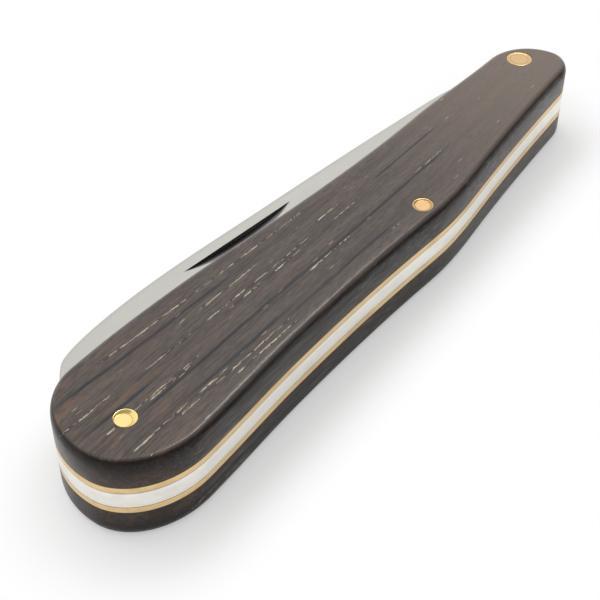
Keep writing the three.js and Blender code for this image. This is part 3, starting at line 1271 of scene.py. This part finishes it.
def start_material(name: str) -> tuple[bpy.types.Material, Graph, bpy.types.Node]:
    """Starts a material with one Principled BSDF.

    Args:
        name: the material's name.

    Returns:
        The material, a graph to fill it, and its shader.
    """
    material = bpy.data.materials.new(name)
    material.use_nodes = True
    graph = Graph(material.node_tree)
    shader = graph.node("BsdfPrincipled")
    graph.node("OutputMaterial", {"Surface": shader.outputs[0]})
    return material, graph, shader


def pin_frame_vector(graph: Graph) -> Socket:
    """Gives Object coordinates in millimetres of the pin frame.

    Args:
        graph: the material's graph.

    Returns:
        The coordinates' socket.
    """
    shift = tuple(-value / MM for value in datum.origin)
    place = graph.node("TexCoord").outputs["Object"]
    return graph.node("Mapping", {0: place, 1: shift, 3: (1 / MM,) * 3}).outputs[0]


@dataclass(frozen=True)
class Grain:
    """Noise drawn out along the grain.

    Args:
        length: length of its lines.
        width: their width.
        seed: where in the noise it starts.
        low: the noise at which its mask starts.
        high: the noise at which its mask is full.
        weight: how much it does.
        detail: how many finer layers it has.
    """

    length: float
    width: float
    seed: float
    low: float = 0.0
    high: float = 1.0
    weight: float = 1.0
    detail: float = 4.0


@dataclass(frozen=True)
class Fleck:
    """Short marks: the length and width of their cells, the share that is marked, and the core's size."""

    length: float
    width: float
    share: float
    core: float
    seed: float


@dataclass(frozen=True)
class Streak:
    """One line of the grain: its level of w, and where along X it starts and ends."""

    level: float
    start: float
    end: float


class Pattern:
    """Places the shared effects in one material, on one vector and with one seed."""

    def __init__(self, effects: Effects, graph: Graph, place: Socket, seed: float = 0.0) -> None:
        """Keeps what every effect needs.

        Args:
            effects: the shared node groups.
            graph: the material's graph.
            place: the coordinates that the effects are drawn on.
            seed: a shift of all of them, so that two pieces differ.
        """
        self.effects = effects
        self.graph = graph
        self.place = place
        self.seed = seed

    def noise(self, grain: Grain) -> Socket:
        """Places the fibres group.

        Args:
            grain: what its lines are like.

        Returns:
            The noise, from 0 to 1.
        """
        made = self.graph.group(
            self.effects.fibres,
            Vector=self.place,
            Length=grain.length,
            Width=grain.width,
            Detail=grain.detail,
            Seed=grain.seed + self.seed,
        )
        return made.outputs[0]

    def mask(self, grain: Grain) -> Socket:
        """Gives a grain's mask, from 0 to its weight."""
        step = self.graph.between(self.noise(grain), grain.low, grain.high)
        return self.graph.math("MULTIPLY", step, grain.weight)

    def sway(self, grain: Grain, middle: float = 0.0) -> Socket:
        """Gives a value that sways about a middle by up to half the grain's weight to each side."""
        return self.graph.math("MULTIPLY_ADD", self.noise(grain), grain.weight, middle - grain.weight / 2)

    def flecks(self, fleck: Fleck) -> bpy.types.Node:
        """Places the flecks group.

        Args:
            fleck: what its marks are like.

        Returns:
            The group's node, with its outputs Mask and Tone.
        """
        return self.graph.group(
            self.effects.flecks,
            Vector=self.place,
            Length=fleck.length,
            Width=fleck.width,
            Share=fleck.share,
            Core=fleck.core,
            Seed=fleck.seed + self.seed,
        )

    def wear_and_painted_light(self, amount: float, scale: float) -> Socket:
        """Places the edge group, for worn edges and painted light, on the piece's marked edges.

        Args:
            amount: how strong the mask is.
            scale: the scale of the noise that breaks it.

        Returns:
            The mask.
        """
        edge = self.graph.node("Attribute", attribute_name="edge").outputs["Fac"]
        made = self.graph.group(self.effects.wear_and_painted_light, Vector=self.place, Edge=edge, Amount=amount, Grain=scale)
        return made.outputs[0]

    def streaks(
        self, lines: tuple[Streak, ...], level: Socket, x: Socket, half: float, fade: float
    ) -> Any:
        """Draws lines of the grain.

        Args:
            lines: the lines.
            level: the level w at each point.
            x: the place along the knife.
            half: half the lines' width.
            fade: the length over which a line starts and ends.

        Returns:
            The strongest of their masks.
        """
        strongest = 0.0
        for streak in lines:
            made = self.graph.group(
                self.effects.streak,
                W=level,
                X=x,
                Level=streak.level,
                Start=streak.start,
                End=streak.end,
                Half=half,
                Fade=fade,
            )
            strongest = self.graph.math("MAXIMUM", strongest, made.outputs[0])
        return strongest


@dataclass(frozen=True)
class WoodFinish:
    """Dark open-grained wood, oiled and rubbed to a satin sheen, with painted shade on its sides.

    The figure is a colour by the level w of the growth rings, which lean over the knife and fan out
    on the blade's side: w = y + x (lean + fan max(y - middle, 0)), plus a slow wander.
    """

    name: str
    face: float
    shift: float = 0.0
    seed: float = 0.0
    lean: float = 0.031
    fan: float = 0.0085
    fan_middle: float = -0.5
    tilt: float = 0.55
    brown: Colour = (0.078, 0.063, 0.057)
    pale: Colour = (0.135, 0.104, 0.088)
    warm: Colour = (0.210, 0.115, 0.068)
    # Painted sheen: the colour that the face grows toward at the nose.
    nose: Colour = (0.200, 0.152, 0.122)
    dark: Colour = (0.028, 0.022, 0.020)
    blue_black: Colour = (0.008, 0.013, 0.020)
    cream: Colour = (0.740, 0.630, 0.460)
    side_turn: tuple[float, float] = (0.93, 0.60)
    # Painted shade on the sides: the share of colour kept high on the wall and next to the liner.
    side_painted_shade: float = 0.20
    liner_painted_shade: float = 0.62
    liner_reach: tuple[float, float] = (4.6, 2.0)
    toward_nose_sheen: tuple[float, float] = (38.0, 84.0)
    toward_butt: tuple[float, float] = (16.0, -4.0)
    nose_sheen_share: float = 0.75
    streak_dark: float = 0.9
    pore_dark: float = 0.6
    # Painted shade in the grooves beside the cream lines.
    groove_painted_shade: float = 0.55
    cream_least: float = 0.35
    # Painted highlight along the arris, with worn edges.
    edge_wear_and_painted_light: float = 0.3
    pore_rough: float = 0.25
    pore_depth: float = 0.8
    relief: float = 0.00003
    sheen: float = 0.12
    top_sheen: float = 0.40
    oil_roughness: float = 0.26
    roughness: float = 0.30
    wander: Grain = Grain(22, 4, 1.3, weight=2.4)
    streak_wander: Grain = Grain(12, 4, 4.1, weight=0.4, detail=2)
    line_wander: Grain = Grain(9, 3, 8.7, weight=0.4)
    line_jitter: Grain = Grain(1.1, 0.5, 51.1, weight=0.22)
    coarse: Grain = Grain(6, 0.45, 2.2, 0.36, 0.66, 0.5)
    mottle: Grain = Grain(1.2, 0.35, 21.5, 0.40, 0.66, 0.35)
    fine: Grain = Grain(3.2, 0.10, 6.5, 0.44, 0.60, 0.5)
    glow: Grain = Grain(5, 1.1, 11.9, 0.50, 0.64, 0.55)
    strands: Grain = Grain(5, 0.16, 31.7, 0.58, 0.66, 0.35)
    streak_shade: Grain = Grain(6, 0.6, 25.4, weight=1.2)
    breaks: Grain = Grain(1.3, 0.6, 5.6, 0.44, 0.50, detail=2)
    splits: Grain = Grain(0.9, 0.07, 61.3, 0.40, 0.54, detail=2)
    brightness: Grain = Grain(2.5, 0.8, 71.9, 0.35, 0.65, 0.6)
    satin: Grain = Grain(10, 0.5, 9.4, weight=0.16)
    side_lines: Grain = Grain(14, 0.09, 41.3, 0.50, 0.62, 0.65)
    fine_relief: Grain = Grain(3, 0.08, 15.2)
    wide_relief: Grain = Grain(8, 0.9, 17.7)
    dark_pores: Fleck = Fleck(4.0, 0.14, 0.5, 0.24, 2.0)
    pale_pores: Fleck = Fleck(3.2, 0.26, 0.20, 0.20, 7.7)
    streak_half: float = 0.30
    streak_fade: float = 5.0
    line_half: float = 0.15
    groove_half: float = 0.26
    line_fade: float = 0.6
    dark_streaks: tuple[Streak, ...] = (
        Streak(6.15, -4.5, 24),
        Streak(1.35, -6, 8),
        Streak(-0.82, 0, 58),
        Streak(-3.85, 19, 43),
        Streak(-3.1, 4, 24),
        Streak(3.4, 44, 62),
    )
    cream_lines: tuple[Streak, ...] = (
        Streak(7.45, 4, 37),
        Streak(3.2, -6, 2),
        Streak(2.92, 6, 33),
        Streak(2.15, 18, 32),
        Streak(4.9, 16, 26),
        Streak(-0.08, -3, 11),
        Streak(-0.42, 3, 10),
        Streak(-3.6, -3, 11),
        Streak(-4.1, 3, 21),
        Streak(-4.85, 11, 21),
        Streak(-1.2, 28, 36),
        Streak(4.2, 35, 40),
        Streak(2.5, 37, 42),
        Streak(-4.4, 37, 41),
        Streak(-0.45, 50, 56),
    )

    def figure(self) -> list[tuple[float, Colour]]:
        """Lists the colours of the growth rings.

        Returns:
            Levels w and the colour at each.
        """
        between = tuple(mixed(a, b, 0.5) for a, b in zip(self.brown, self.pale))
        return [
            (-9.0, self.brown),
            (-5.5, self.pale),
            (-3.4, self.brown),
            (-2.2, between),
            (-0.9, self.brown),
            (0.9, self.pale),
            (1.8, self.brown),
            (3.4, between),
            (5.0, self.pale),
            (6.2, self.brown),
            (7.6, self.pale),
            (10.0, self.brown),
        ]

    def make(self, effects: Effects) -> bpy.types.Material:
        """Builds the wood's material.

        Args:
            effects: the shared node groups.

        Returns:
            The material.
        """
        material, graph, shader = start_material(self.name)
        place = pin_frame_vector(graph)
        pattern = Pattern(effects, graph, place, self.seed)
        axes = graph.node("SeparateXYZ", {0: place})
        x, y, z = axes.outputs
        upright = graph.node("SeparateXYZ", {0: graph.node("TexCoord").outputs["Normal"]}).outputs[2]
        side = graph.between(graph.math("ABSOLUTE", upright), *self.side_turn)
        colour, marks, cream = self.top_colour(pattern, x, y, z)

        # Painted highlight along the arris, mixed with worn edges: the roll's mark lightens the colour toward
        # pale.
        wear_and_painted_light = graph.math("MULTIPLY", pattern.wear_and_painted_light(0.35, 0.35), self.edge_wear_and_painted_light)
        colour = graph.mix(wear_and_painted_light, colour, self.pale)
        # Painted shade: the steep sides are darkened toward black, less next to the liner, where the lighter
        # band is a painted reflection of the floor.
        middle = sum(datum.heights("back_spring")) / 2
        off_liner = graph.math("ABSOLUTE", graph.math("SUBTRACT", z, middle))
        near_liner = graph.between(off_liner, *self.liner_reach)
        by_liner = graph.math("MULTIPLY", near_liner, self.liner_painted_shade - self.side_painted_shade)
        shade = graph.math("MULTIPLY", side, graph.math("SUBTRACT", 1 - self.side_painted_shade, by_liner))
        colour = graph.mix(shade, colour, (0.0, 0.0, 0.0))
        graph.feed(shader.inputs["Base Color"], colour)

        satin = pattern.sway(self.satin, self.roughness)
        rough = graph.math("MULTIPLY_ADD", marks, self.pore_rough, satin)
        graph.feed(shader.inputs["Roughness"], rough)
        oiled = {0: side, 2: self.top_sheen, 3: pattern.mask(self.side_lines)}
        graph.feed(shader.inputs["Coat Weight"], graph.node("Mix", oiled, data_type="FLOAT").outputs[0])
        shader.inputs["Coat Roughness"].default_value = self.oil_roughness
        shader.inputs["Specular IOR Level"].default_value = self.sheen

        height = graph.math("MULTIPLY", pattern.noise(self.fine_relief), 0.5)
        height = graph.math("MULTIPLY_ADD", graph.math("MAXIMUM", marks, cream), -self.pore_depth, height)
        height = graph.math("MULTIPLY_ADD", pattern.noise(self.wide_relief), 0.5, height)
        bump = graph.node("Bump", {"Height": height, "Strength": 0.7, "Distance": self.relief})
        graph.feed(shader.inputs["Normal"], bump.outputs[0])
        shader.inputs["IOR"].default_value = 1.5
        return material

    def top_colour(self, pattern: Pattern, x: Socket, y: Socket, z: Socket) -> tuple[Socket, ...]:
        """Works out the wood's colour as it shows on its face.

        Args:
            pattern: the material's effects.
            x: the place along the knife.
            y: the place across it.
            z: the height.

        Returns:
            The colour, the mask of the dark pores and the mask of the cream ones.
        """
        graph = pattern.graph
        off_middle = graph.math("MAXIMUM", graph.math("SUBTRACT", y, self.fan_middle), 0.0)
        slope = graph.math("MULTIPLY_ADD", off_middle, self.fan, self.lean)
        straight = graph.math("MULTIPLY_ADD", x, slope, y)
        depth = graph.math("MULTIPLY", graph.math("SUBTRACT", z, self.face), self.tilt)
        level = graph.math("ADD", straight, depth)
        w = graph.math("ADD", level, pattern.sway(self.wander, self.shift))
        w_streak = graph.math("ADD", level, pattern.sway(self.streak_wander, self.shift))
        w_fine = graph.math("ADD", level, pattern.sway(self.line_wander, self.shift))
        w_fine = graph.math("ADD", w_fine, pattern.sway(self.line_jitter))

        colour = graph.ramp(w, self.figure(), -9, 10)
        colour = graph.mix(pattern.mask(self.coarse), colour, self.pale)
        colour = graph.mix(pattern.mask(self.mottle), colour, self.dark)
        colour = graph.mix(pattern.mask(self.fine), colour, self.dark)
        # Painted sheen: the face is made lighter toward the nose.
        to_nose = graph.math("MULTIPLY", graph.between(x, *self.toward_nose_sheen), self.nose_sheen_share)
        colour = graph.mix(to_nose, colour, self.nose)
        glow = graph.math("MULTIPLY", pattern.mask(self.glow), graph.between(x, *self.toward_butt))
        colour = graph.mix(glow, colour, self.warm)
        colour = graph.mix(pattern.mask(self.strands), colour, self.warm)

        dark_pores = pattern.flecks(self.dark_pores).outputs["Mask"]
        pale_pores = pattern.flecks(self.pale_pores)
        streaks = pattern.streaks(self.dark_streaks, w_streak, x, self.streak_half, self.streak_fade)
        bands = graph.math("MULTIPLY", streaks, pattern.sway(self.streak_shade, 0.8))
        colour = graph.mix(graph.math("MINIMUM", bands, self.streak_dark), colour, self.blue_black)
        lines = pattern.streaks(self.cream_lines, w_fine, x, self.line_half, self.line_fade)
        kept = graph.math("MULTIPLY", pattern.mask(self.breaks), pattern.mask(self.splits))
        dashes = graph.math("MULTIPLY", lines, kept)
        # Painted shade: a band beside each cream line is darkened as the shaded wall of its groove; the dark
        # pores are the wood's own colour.
        groove = pattern.streaks(self.cream_lines, w_fine, x, self.groove_half, self.line_fade)
        pale_marks = graph.math("MULTIPLY", pale_pores.outputs["Mask"], pale_pores.outputs["Tone"])
        cream = graph.math("MAXIMUM", dashes, pale_marks)
        pores_and_groove_shade = graph.math(
            "MAXIMUM",
            graph.math("MULTIPLY", dark_pores, self.pore_dark),
            graph.math("MULTIPLY", groove, self.groove_painted_shade),
        )
        colour = graph.mix(pores_and_groove_shade, colour, self.dark)
        strength = graph.math("ADD", pattern.mask(self.brightness), self.cream_least)
        colour = graph.mix(graph.math("MULTIPLY", cream, strength), colour, self.cream)
        return colour, dark_pores, cream


@dataclass(frozen=True)
class MetalFinish:
    """A metal with fine lines left by the last abrasive.

    Args:
        name: the material's name.
        colour: its clean colour.
        tarnish: its colour where it has dulled.
        roughness: its roughness between the lines.
        lines: length and width of the abrasive's lines.
        depth: how deep the lines are.
        turn: degrees by which the lines are turned from +X.
        dulled: how much of the tarnish shows in clouds.
        seam_and_shade: how dark the marked edges are: the seams, and on a pin painted shade at its disc's
            edge.
        grime_and_shade: the colour of those edges.
        clouds: the tarnish's clouds, before their weight.
        marks: short dents.
        seam_from: the edge's mark at which the darkening starts and is full.
        scratch_from: the noise at which a line shows and is full.
        scratch_tone: how much of the tarnish the lines hold.
        wear_and_shade_tone: how much of it the edges hold: worn edges, and on a pin painted shade at its
            disc's edge.
        mark_tone: how much of it the dents hold.
        mark_depth: how deep the dents are, to the lines.
        satin: how much the lines change the roughness.
        dull_rough: how much rougher the clouds are.
    """

    name: str
    colour: Colour
    tarnish: Colour
    roughness: float = 0.28
    lines: tuple[float, float] = (6.0, 0.05)
    depth: float = 0.000004
    turn: float = 0.0
    dulled: float = 0.35
    seam_and_shade: float = 0.0
    grime_and_shade: Colour = (0.045, 0.038, 0.028)
    clouds: Grain = Grain(4.0, 1.6, 5.1, 0.42, 0.70, detail=3)
    marks: Fleck = Fleck(3.0, 0.5, 0.10, 0.10, 3.0)
    seam_from: tuple[float, float] = (0.02, 0.5)
    scratch_from: tuple[float, float] = (0.5, 0.75)
    scratch_tone: float = 0.22
    wear_and_shade_tone: float = 0.25
    mark_tone: float = 0.35
    mark_depth: float = 0.6
    satin: float = 0.16
    dull_rough: float = 0.25

    def stain(self, graph: Graph, place: Socket, colour: Socket) -> tuple[Socket, Any]:
        """Darkens the marked edges: the seams to the next layers, and on a pin the painted shade at its
        disc's edge.

        Args:
            graph: the material's graph.
            place: Object coordinates in millimetres of the pin frame.
            colour: the metal's colour so far.

        Returns:
            The colour with the dark seams and painted shade, and how metallic the surface is.
        """
        edge = graph.node("Attribute", attribute_name="edge").outputs["Fac"]
        seams = graph.math("MULTIPLY", graph.between(edge, *self.seam_from), self.seam_and_shade)
        return graph.mix(seams, colour, self.grime_and_shade), 1.0

    def make(self, effects: Effects) -> bpy.types.Material:
        """Builds the metal's material.

        Args:
            effects: the shared node groups.

        Returns:
            The material.
        """
        material, graph, shader = start_material(self.name)
        straight = pin_frame_vector(graph)
        place = graph.node("Mapping", {0: straight, 2: (0, 0, math.radians(-self.turn))}).outputs[0]
        pattern = Pattern(effects, graph, place)
        brushed = pattern.noise(Grain(*self.lines, 1.7, detail=5))
        dull = graph.math("MULTIPLY", pattern.mask(self.clouds), self.dulled)
        colour = graph.mix(dull, self.colour, self.tarnish)
        scratched = graph.between(brushed, *self.scratch_from)
        marks = pattern.flecks(self.marks).outputs["Mask"]
        for mask, tone in (
            (scratched, self.scratch_tone),
            (pattern.wear_and_painted_light(1.0, 0.8), self.wear_and_shade_tone),
            (marks, self.mark_tone),
        ):
            colour = graph.mix(graph.math("MULTIPLY", mask, tone), colour, self.tarnish)
        colour, metallic = self.stain(graph, straight, colour)
        graph.feed(shader.inputs["Base Color"], colour)
        rough = graph.math("MULTIPLY_ADD", brushed, self.satin, self.roughness - self.satin / 2)
        rough = graph.math("MULTIPLY_ADD", dull, self.dull_rough, rough)
        graph.feed(shader.inputs["Roughness"], rough)
        height = graph.math("MULTIPLY_ADD", marks, -self.mark_depth, brushed)
        bump = graph.node("Bump", {"Height": height, "Strength": 0.8, "Distance": self.depth})
        graph.feed(shader.inputs["Normal"], bump.outputs[0])
        graph.feed(shader.inputs["Metallic"], metallic)
        return material


@dataclass(frozen=True)
class BladeFinish(MetalFinish):
    """The blade's steel, with painted shade in the nail nick, darkest under its wall.

    Args:
        blade: the blade, for the nick's place.
        face: Z of the blade's front face.
        spread: how far the painted shade reaches over the nick's floor.
        tones: how pale it is, by the share of that way.
    """

    blade: Blade | None = None
    face: float = 0.0
    spread: float = 1.8
    tones: tuple[tuple[float, float], ...] = (
        (0.0, 0.022),
        (0.3, 0.05),
        (0.55, 0.17),
        (0.8, 0.36),
        (1.0, 0.46),
    )

    def stain(self, graph: Graph, place: Socket, colour: Socket) -> tuple[Socket, Any]:
        """Paints shade into the nick, from dark at its wall to pale at its floor's far edge.

        Args:
            graph: the material's graph.
            place: Object coordinates in millimetres of the pin frame.
            colour: the steel's colour so far.

        Returns:
            The colour with the painted shade, and how metallic the surface is.
        """
        back = Matrix.Rotation(math.radians(-self.blade.swing), 3, "Z")
        shift = -(back @ Vector((*datum.pivot, 0.0)))
        own = graph.node("Mapping", {0: place, 1: shift, 2: back.to_euler()}).outputs[0]
        x, y, z = graph.node("SeparateXYZ", {0: own}).outputs
        below = graph.math("SUBTRACT", self.face, z)
        past_wall = graph.math("SUBTRACT", y, self.blade.nick_inset - self.blade.spine_height)
        along = graph.math("ABSOLUTE", graph.math("SUBTRACT", x, self.blade.nick_from))
        reach = self.blade.nick_length / 2
        # Painted shade: the nick is coloured dark under its wall and made unmetallic, so that it stays dark.
        mask = graph.math("MULTIPLY", graph.between(below, 0.0, 0.04), graph.between(below, 1.0, 0.9))
        limits = (
            (past_wall, -0.3, -0.1),
            (past_wall, self.spread + 0.2, self.spread),
            (along, reach + 0.5, reach),
        )
        for value, low, high in limits:
            mask = graph.math("MULTIPLY", mask, graph.between(value, low, high))
        floor = [(share * self.spread, (v, 0.98 * v, 0.93 * v)) for share, v in self.tones]
        nick_shade = graph.ramp(past_wall, floor, 0.0, self.spread)
        return graph.mix(mask, colour, nick_shade), graph.math("SUBTRACT", 1.0, mask)


@dataclass
class Studio:
    """A pale floor in a white room, soft light from above, and the camera at the photograph's angle."""

    eye: tuple[float, float, float] = (-60.0, -63.6, 104.5)
    sight: tuple[float, float, float] = (0.6023, 0.4292, -0.6730)
    lens: float = 78.0
    floor_half: float = 1.5
    floor_colour: Colour = (0.97, 0.97, 0.97)
    white_near: float = 0.38
    white_from: float = 9.0
    white_full: float = 17.0
    box_from: tuple[float, float, float] = (0.367, 0.078, 0.706)
    box_watts: float = 2.4
    box_size: float = 0.26
    key_from: tuple[float, float, float] = (0.10, 0.55, 0.60)
    key_watts: float = 1.7
    key_size: float = 0.8
    sky_side: tuple[float, float, float] = (0.10, 0.70, 0.70)
    sky_from: float = -0.4
    sky_to: float = 0.6
    sky_dark: float = 0.20
    sky_bright: float = 1.02
    far_side: tuple[float, float, float] = (0.40, 0.92, 0.0)
    far_from: float = -0.1
    far_to: float = 0.45
    near_level: float = 0.35
    top_level: float = 0.6
    top_from: float = 0.85
    top_full: float = 0.98

    def build(self) -> None:
        """Makes the floor, the lights, the world and the camera."""
        self.make_floor()
        self.make_light("softbox", self.box_from, self.box_watts, self.box_size).visible_diffuse = False
        self.make_light("key", self.key_from, self.key_watts, self.key_size).visible_glossy = False
        self.make_world()
        self.make_camera()
        view = bpy.context.scene.view_settings
        view.view_transform = "Standard"

    def make_floor(self) -> None:
        """Makes the floor as one square with a plain pale finish.

        Part of what the camera and gloss see of it is plain white, and more of it away from the knife,
        which keeps the paper white and the shadow on it. The distance is from the line of the pins.
        """
        half = self.floor_half
        corners = [(-half, -half, 0), (half, -half, 0), (half, half, 0), (-half, half, 0)]
        mesh = bpy.data.meshes.new("floor")
        mesh.from_pydata(corners, [], [[0, 1, 2, 3]])
        material, graph, shader = start_material("floor_pale")
        shader.inputs["Base Color"].default_value = (*self.floor_colour, 1.0)
        shader.inputs["Roughness"].default_value = 0.9
        shader.inputs["Specular IOR Level"].default_value = 0.0
        path = graph.node("LightPath")
        seen = graph.math("MAXIMUM", path.outputs["Is Camera Ray"], path.outputs["Is Glossy Ray"])
        white = graph.node("Emission", {"Color": (1.0, 1.0, 1.0), "Strength": 1.0})
        x, y, _ = graph.node("SeparateXYZ", {0: pin_frame_vector(graph)}).outputs
        half_line = datum.pivot[0] / 2
        off_middle = graph.math("ABSOLUTE", graph.math("SUBTRACT", x, half_line))
        past_end = graph.math("SUBTRACT", off_middle, half_line)
        away = graph.node("CombineXYZ", {0: graph.math("MAXIMUM", past_end, 0.0), 1: y})
        away = graph.node("VectorMath", {0: away.outputs[0]}, operation="LENGTH").outputs["Value"]
        far = graph.between(away, self.white_from, self.white_full)
        plain = graph.math("MULTIPLY_ADD", far, 1 - self.white_near, self.white_near)
        share = graph.math("MULTIPLY", seen, plain)
        both = graph.node("MixShader", {0: share, 1: shader.outputs[0], 2: white.outputs[0]})
        end = material.node_tree.get_output_node("ALL")
        graph.feed(end.inputs["Surface"], both.outputs[0])
        mesh.materials.append(material)
        floor = bpy.data.objects.new("floor", mesh)
        bpy.context.scene.collection.objects.link(floor)

    def make_light(
        self, name: str, place: tuple[float, float, float], watts: float, size: float
    ) -> bpy.types.Object:
        """Makes a square soft light that points at the knife.

        Args:
            name: the light's name.
            place: where it hangs, in metres.
            watts: its power.
            size: the length of its side.

        Returns:
            The light.
        """
        data = bpy.data.lights.new(name, "AREA")
        data.energy = watts
        data.size = size
        lamp = bpy.data.objects.new(name, data)
        lamp.location = place
        lamp.rotation_euler = (-Vector(place)).to_track_quat("-Z", "Y").to_euler()
        bpy.context.scene.collection.objects.link(lamp)
        return lamp

    def make_world(self) -> None:
        """Makes a world that the camera sees as plain white, and that lights softly.

        The sky's light falls off from above the blade's side to the camera's side. Gloss sees a room
        that is dark behind the camera, pale on the far side and half bright overhead.
        """
        world = bpy.data.worlds.new("room")
        bpy.context.scene.world = world
        world.use_nodes = True
        graph = Graph(world.node_tree)
        path = graph.node("LightPath")
        direction = graph.node("TexCoord").outputs["Generated"]

        def toward(side: tuple[float, float, float], low: float, high: float) -> Socket:
            """Rises from 0 to 1 as a direction turns to a side.

            Args:
                side: the side.
                low: the cosine at which it starts.
                high: the cosine at which it is full.

            Returns:
                The value's socket.
            """
            ends = {0: direction, 1: Vector(side).normalized()}
            facing = graph.node("VectorMath", ends, operation="DOT_PRODUCT")
            return graph.between(facing.outputs["Value"], low, high)

        sky = graph.math(
            "MULTIPLY_ADD",
            toward(self.sky_side, self.sky_from, self.sky_to),
            self.sky_bright - self.sky_dark,
            self.sky_dark,
        )
        overhead = toward((0.0, 0.0, 1.0), self.top_from, self.top_full)
        overhead = graph.math("MULTIPLY_ADD", overhead, self.top_level - self.near_level, self.near_level)
        level = graph.math("MAXIMUM", toward(self.far_side, self.far_from, self.far_to), overhead)
        seen = graph.math("MAXIMUM", path.outputs["Is Camera Ray"], path.outputs["Is Transmission Ray"])
        light = graph.node("Background", {"Color": (1.0, 1.0, 1.0), "Strength": sky})
        white = graph.node("Background", {"Color": (1.0, 1.0, 1.0), "Strength": 1.0})
        room = graph.node("Background", {"Color": (1.0, 1.0, 1.0), "Strength": level})
        glossy = path.outputs["Is Glossy Ray"]
        both = graph.node("MixShader", {0: glossy, 1: light.outputs[0], 2: room.outputs[0]})
        all_rays = graph.node("MixShader", {0: seen, 1: both.outputs[0], 2: white.outputs[0]})
        graph.node("OutputWorld", {"Surface": all_rays.outputs[0]})

    def make_camera(self) -> None:
        """Makes the camera, level, without depth of field."""
        data = bpy.data.cameras.new("camera")
        data.lens = self.lens
        data.sensor_width = 36.0
        data.sensor_fit = "HORIZONTAL"
        data.clip_start = 0.005
        camera = bpy.data.objects.new("camera", data)
        sight = Vector(self.sight).normalized()
        right = sight.cross(Vector((0, 0, 1))).normalized()
        up = right.cross(sight)
        turn = Matrix((right, up, -sight)).transposed()
        camera.matrix_world = Matrix.Translation(Vector(self.eye) * MM + datum.origin) @ turn.to_4x4()
        bpy.context.scene.collection.objects.link(camera)
        bpy.context.scene.camera = camera


@dataclass
class Knife:
    """The whole knife, layer by layer."""

    effects: Effects
    outline: HandleOutline = field(default_factory=HandleOutline)
    rivet_fit: float = 0.01

    def build(self) -> None:
        """Makes every piece with its finish."""
        pins = [
            Pin("butt_pin", (-0.22, 0.10), dish=0.24),
            Pin("spring_pin", dish=0.14),
            Pin("pivot_pin", dish=0.04),
        ]
        holes = [pin.hole(self.rivet_fit) for pin in pins]
        blade = Blade(self.outline)
        tip = blade.folded(np.array([[blade.tip_reach, blade.tip_height]]))[0]

        liner_brass = MetalFinish(
            "liner_brass", (0.82, 0.60, 0.31), (0.55, 0.36, 0.15), roughness=0.32, lines=(5.0, 0.06), seam_and_shade=0.7
        ).make(self.effects)
        pin_brass = MetalFinish(
            "pin_brass",
            (0.97, 0.77, 0.32),
            (0.62, 0.46, 0.20),
            roughness=0.20,
            lines=(2.0, 0.06),
            dulled=0.1,
            seam_and_shade=0.35,
            grime_and_shade=(0.42, 0.22, 0.07),
        ).make(self.effects)
        dull_brass = MetalFinish(
            "pin_brass_dull",
            (0.64, 0.44, 0.22),
            (0.46, 0.28, 0.12),
            roughness=0.28,
            lines=(2.0, 0.06),
            dulled=0.5,
            seam_and_shade=0.3,
            grime_and_shade=(0.30, 0.15, 0.05),
        ).make(self.effects)
        spring_steel = MetalFinish(
            "spring_steel",
            (0.90, 0.88, 0.82),
            (0.58, 0.55, 0.50),
            roughness=0.34,
            lines=(7.0, 0.05),
            dulled=0.2,
            seam_and_shade=0.5,
        ).make(self.effects)
        blade_steel = BladeFinish(
            "blade_steel",
            (0.54, 0.53, 0.49),
            (0.44, 0.43, 0.41),
            roughness=0.22,
            lines=(9.0, 0.06),
            turn=-7.0,
            dulled=0.2,
            blade=blade,
            face=datum.heights("blade")[1],
        ).make(self.effects)

        for side in Side:
            low, high = datum.heights(f"{side.name.lower()}_scale")
            face = high if side is Side.FRONT else low
            offset = 0.0 if side is Side.FRONT else 2.7
            wood = WoodFinish(f"{side.name.lower()}_wood", face, shift=offset, seed=offset).make(self.effects)
            Scale(side, self.outline, holes).build(wood)
            node = f"{side.name.lower()}_liner"
            Plate(node, node + "_brass", self.outline.loop(), holes, Slot.LINER).build(liner_brass)

        spring = SpringShape(self.outline).loop(tip)
        Plate("back_spring", "back_spring_steel", spring, holes[:2], Slot.SPRING).build(spring_steel)
        blade.build(blade_steel)
        for pin, finish in zip(pins, (pin_brass, dull_brass, dull_brass)):
            pin.build(finish)


def main() -> None:
    """Builds the studio and the knife."""
    logging.basicConfig(level=logging.INFO, format="%(message)s")
    Studio().build()
    Knife(Effects()).build()


if __name__ == "__main__":
    main()
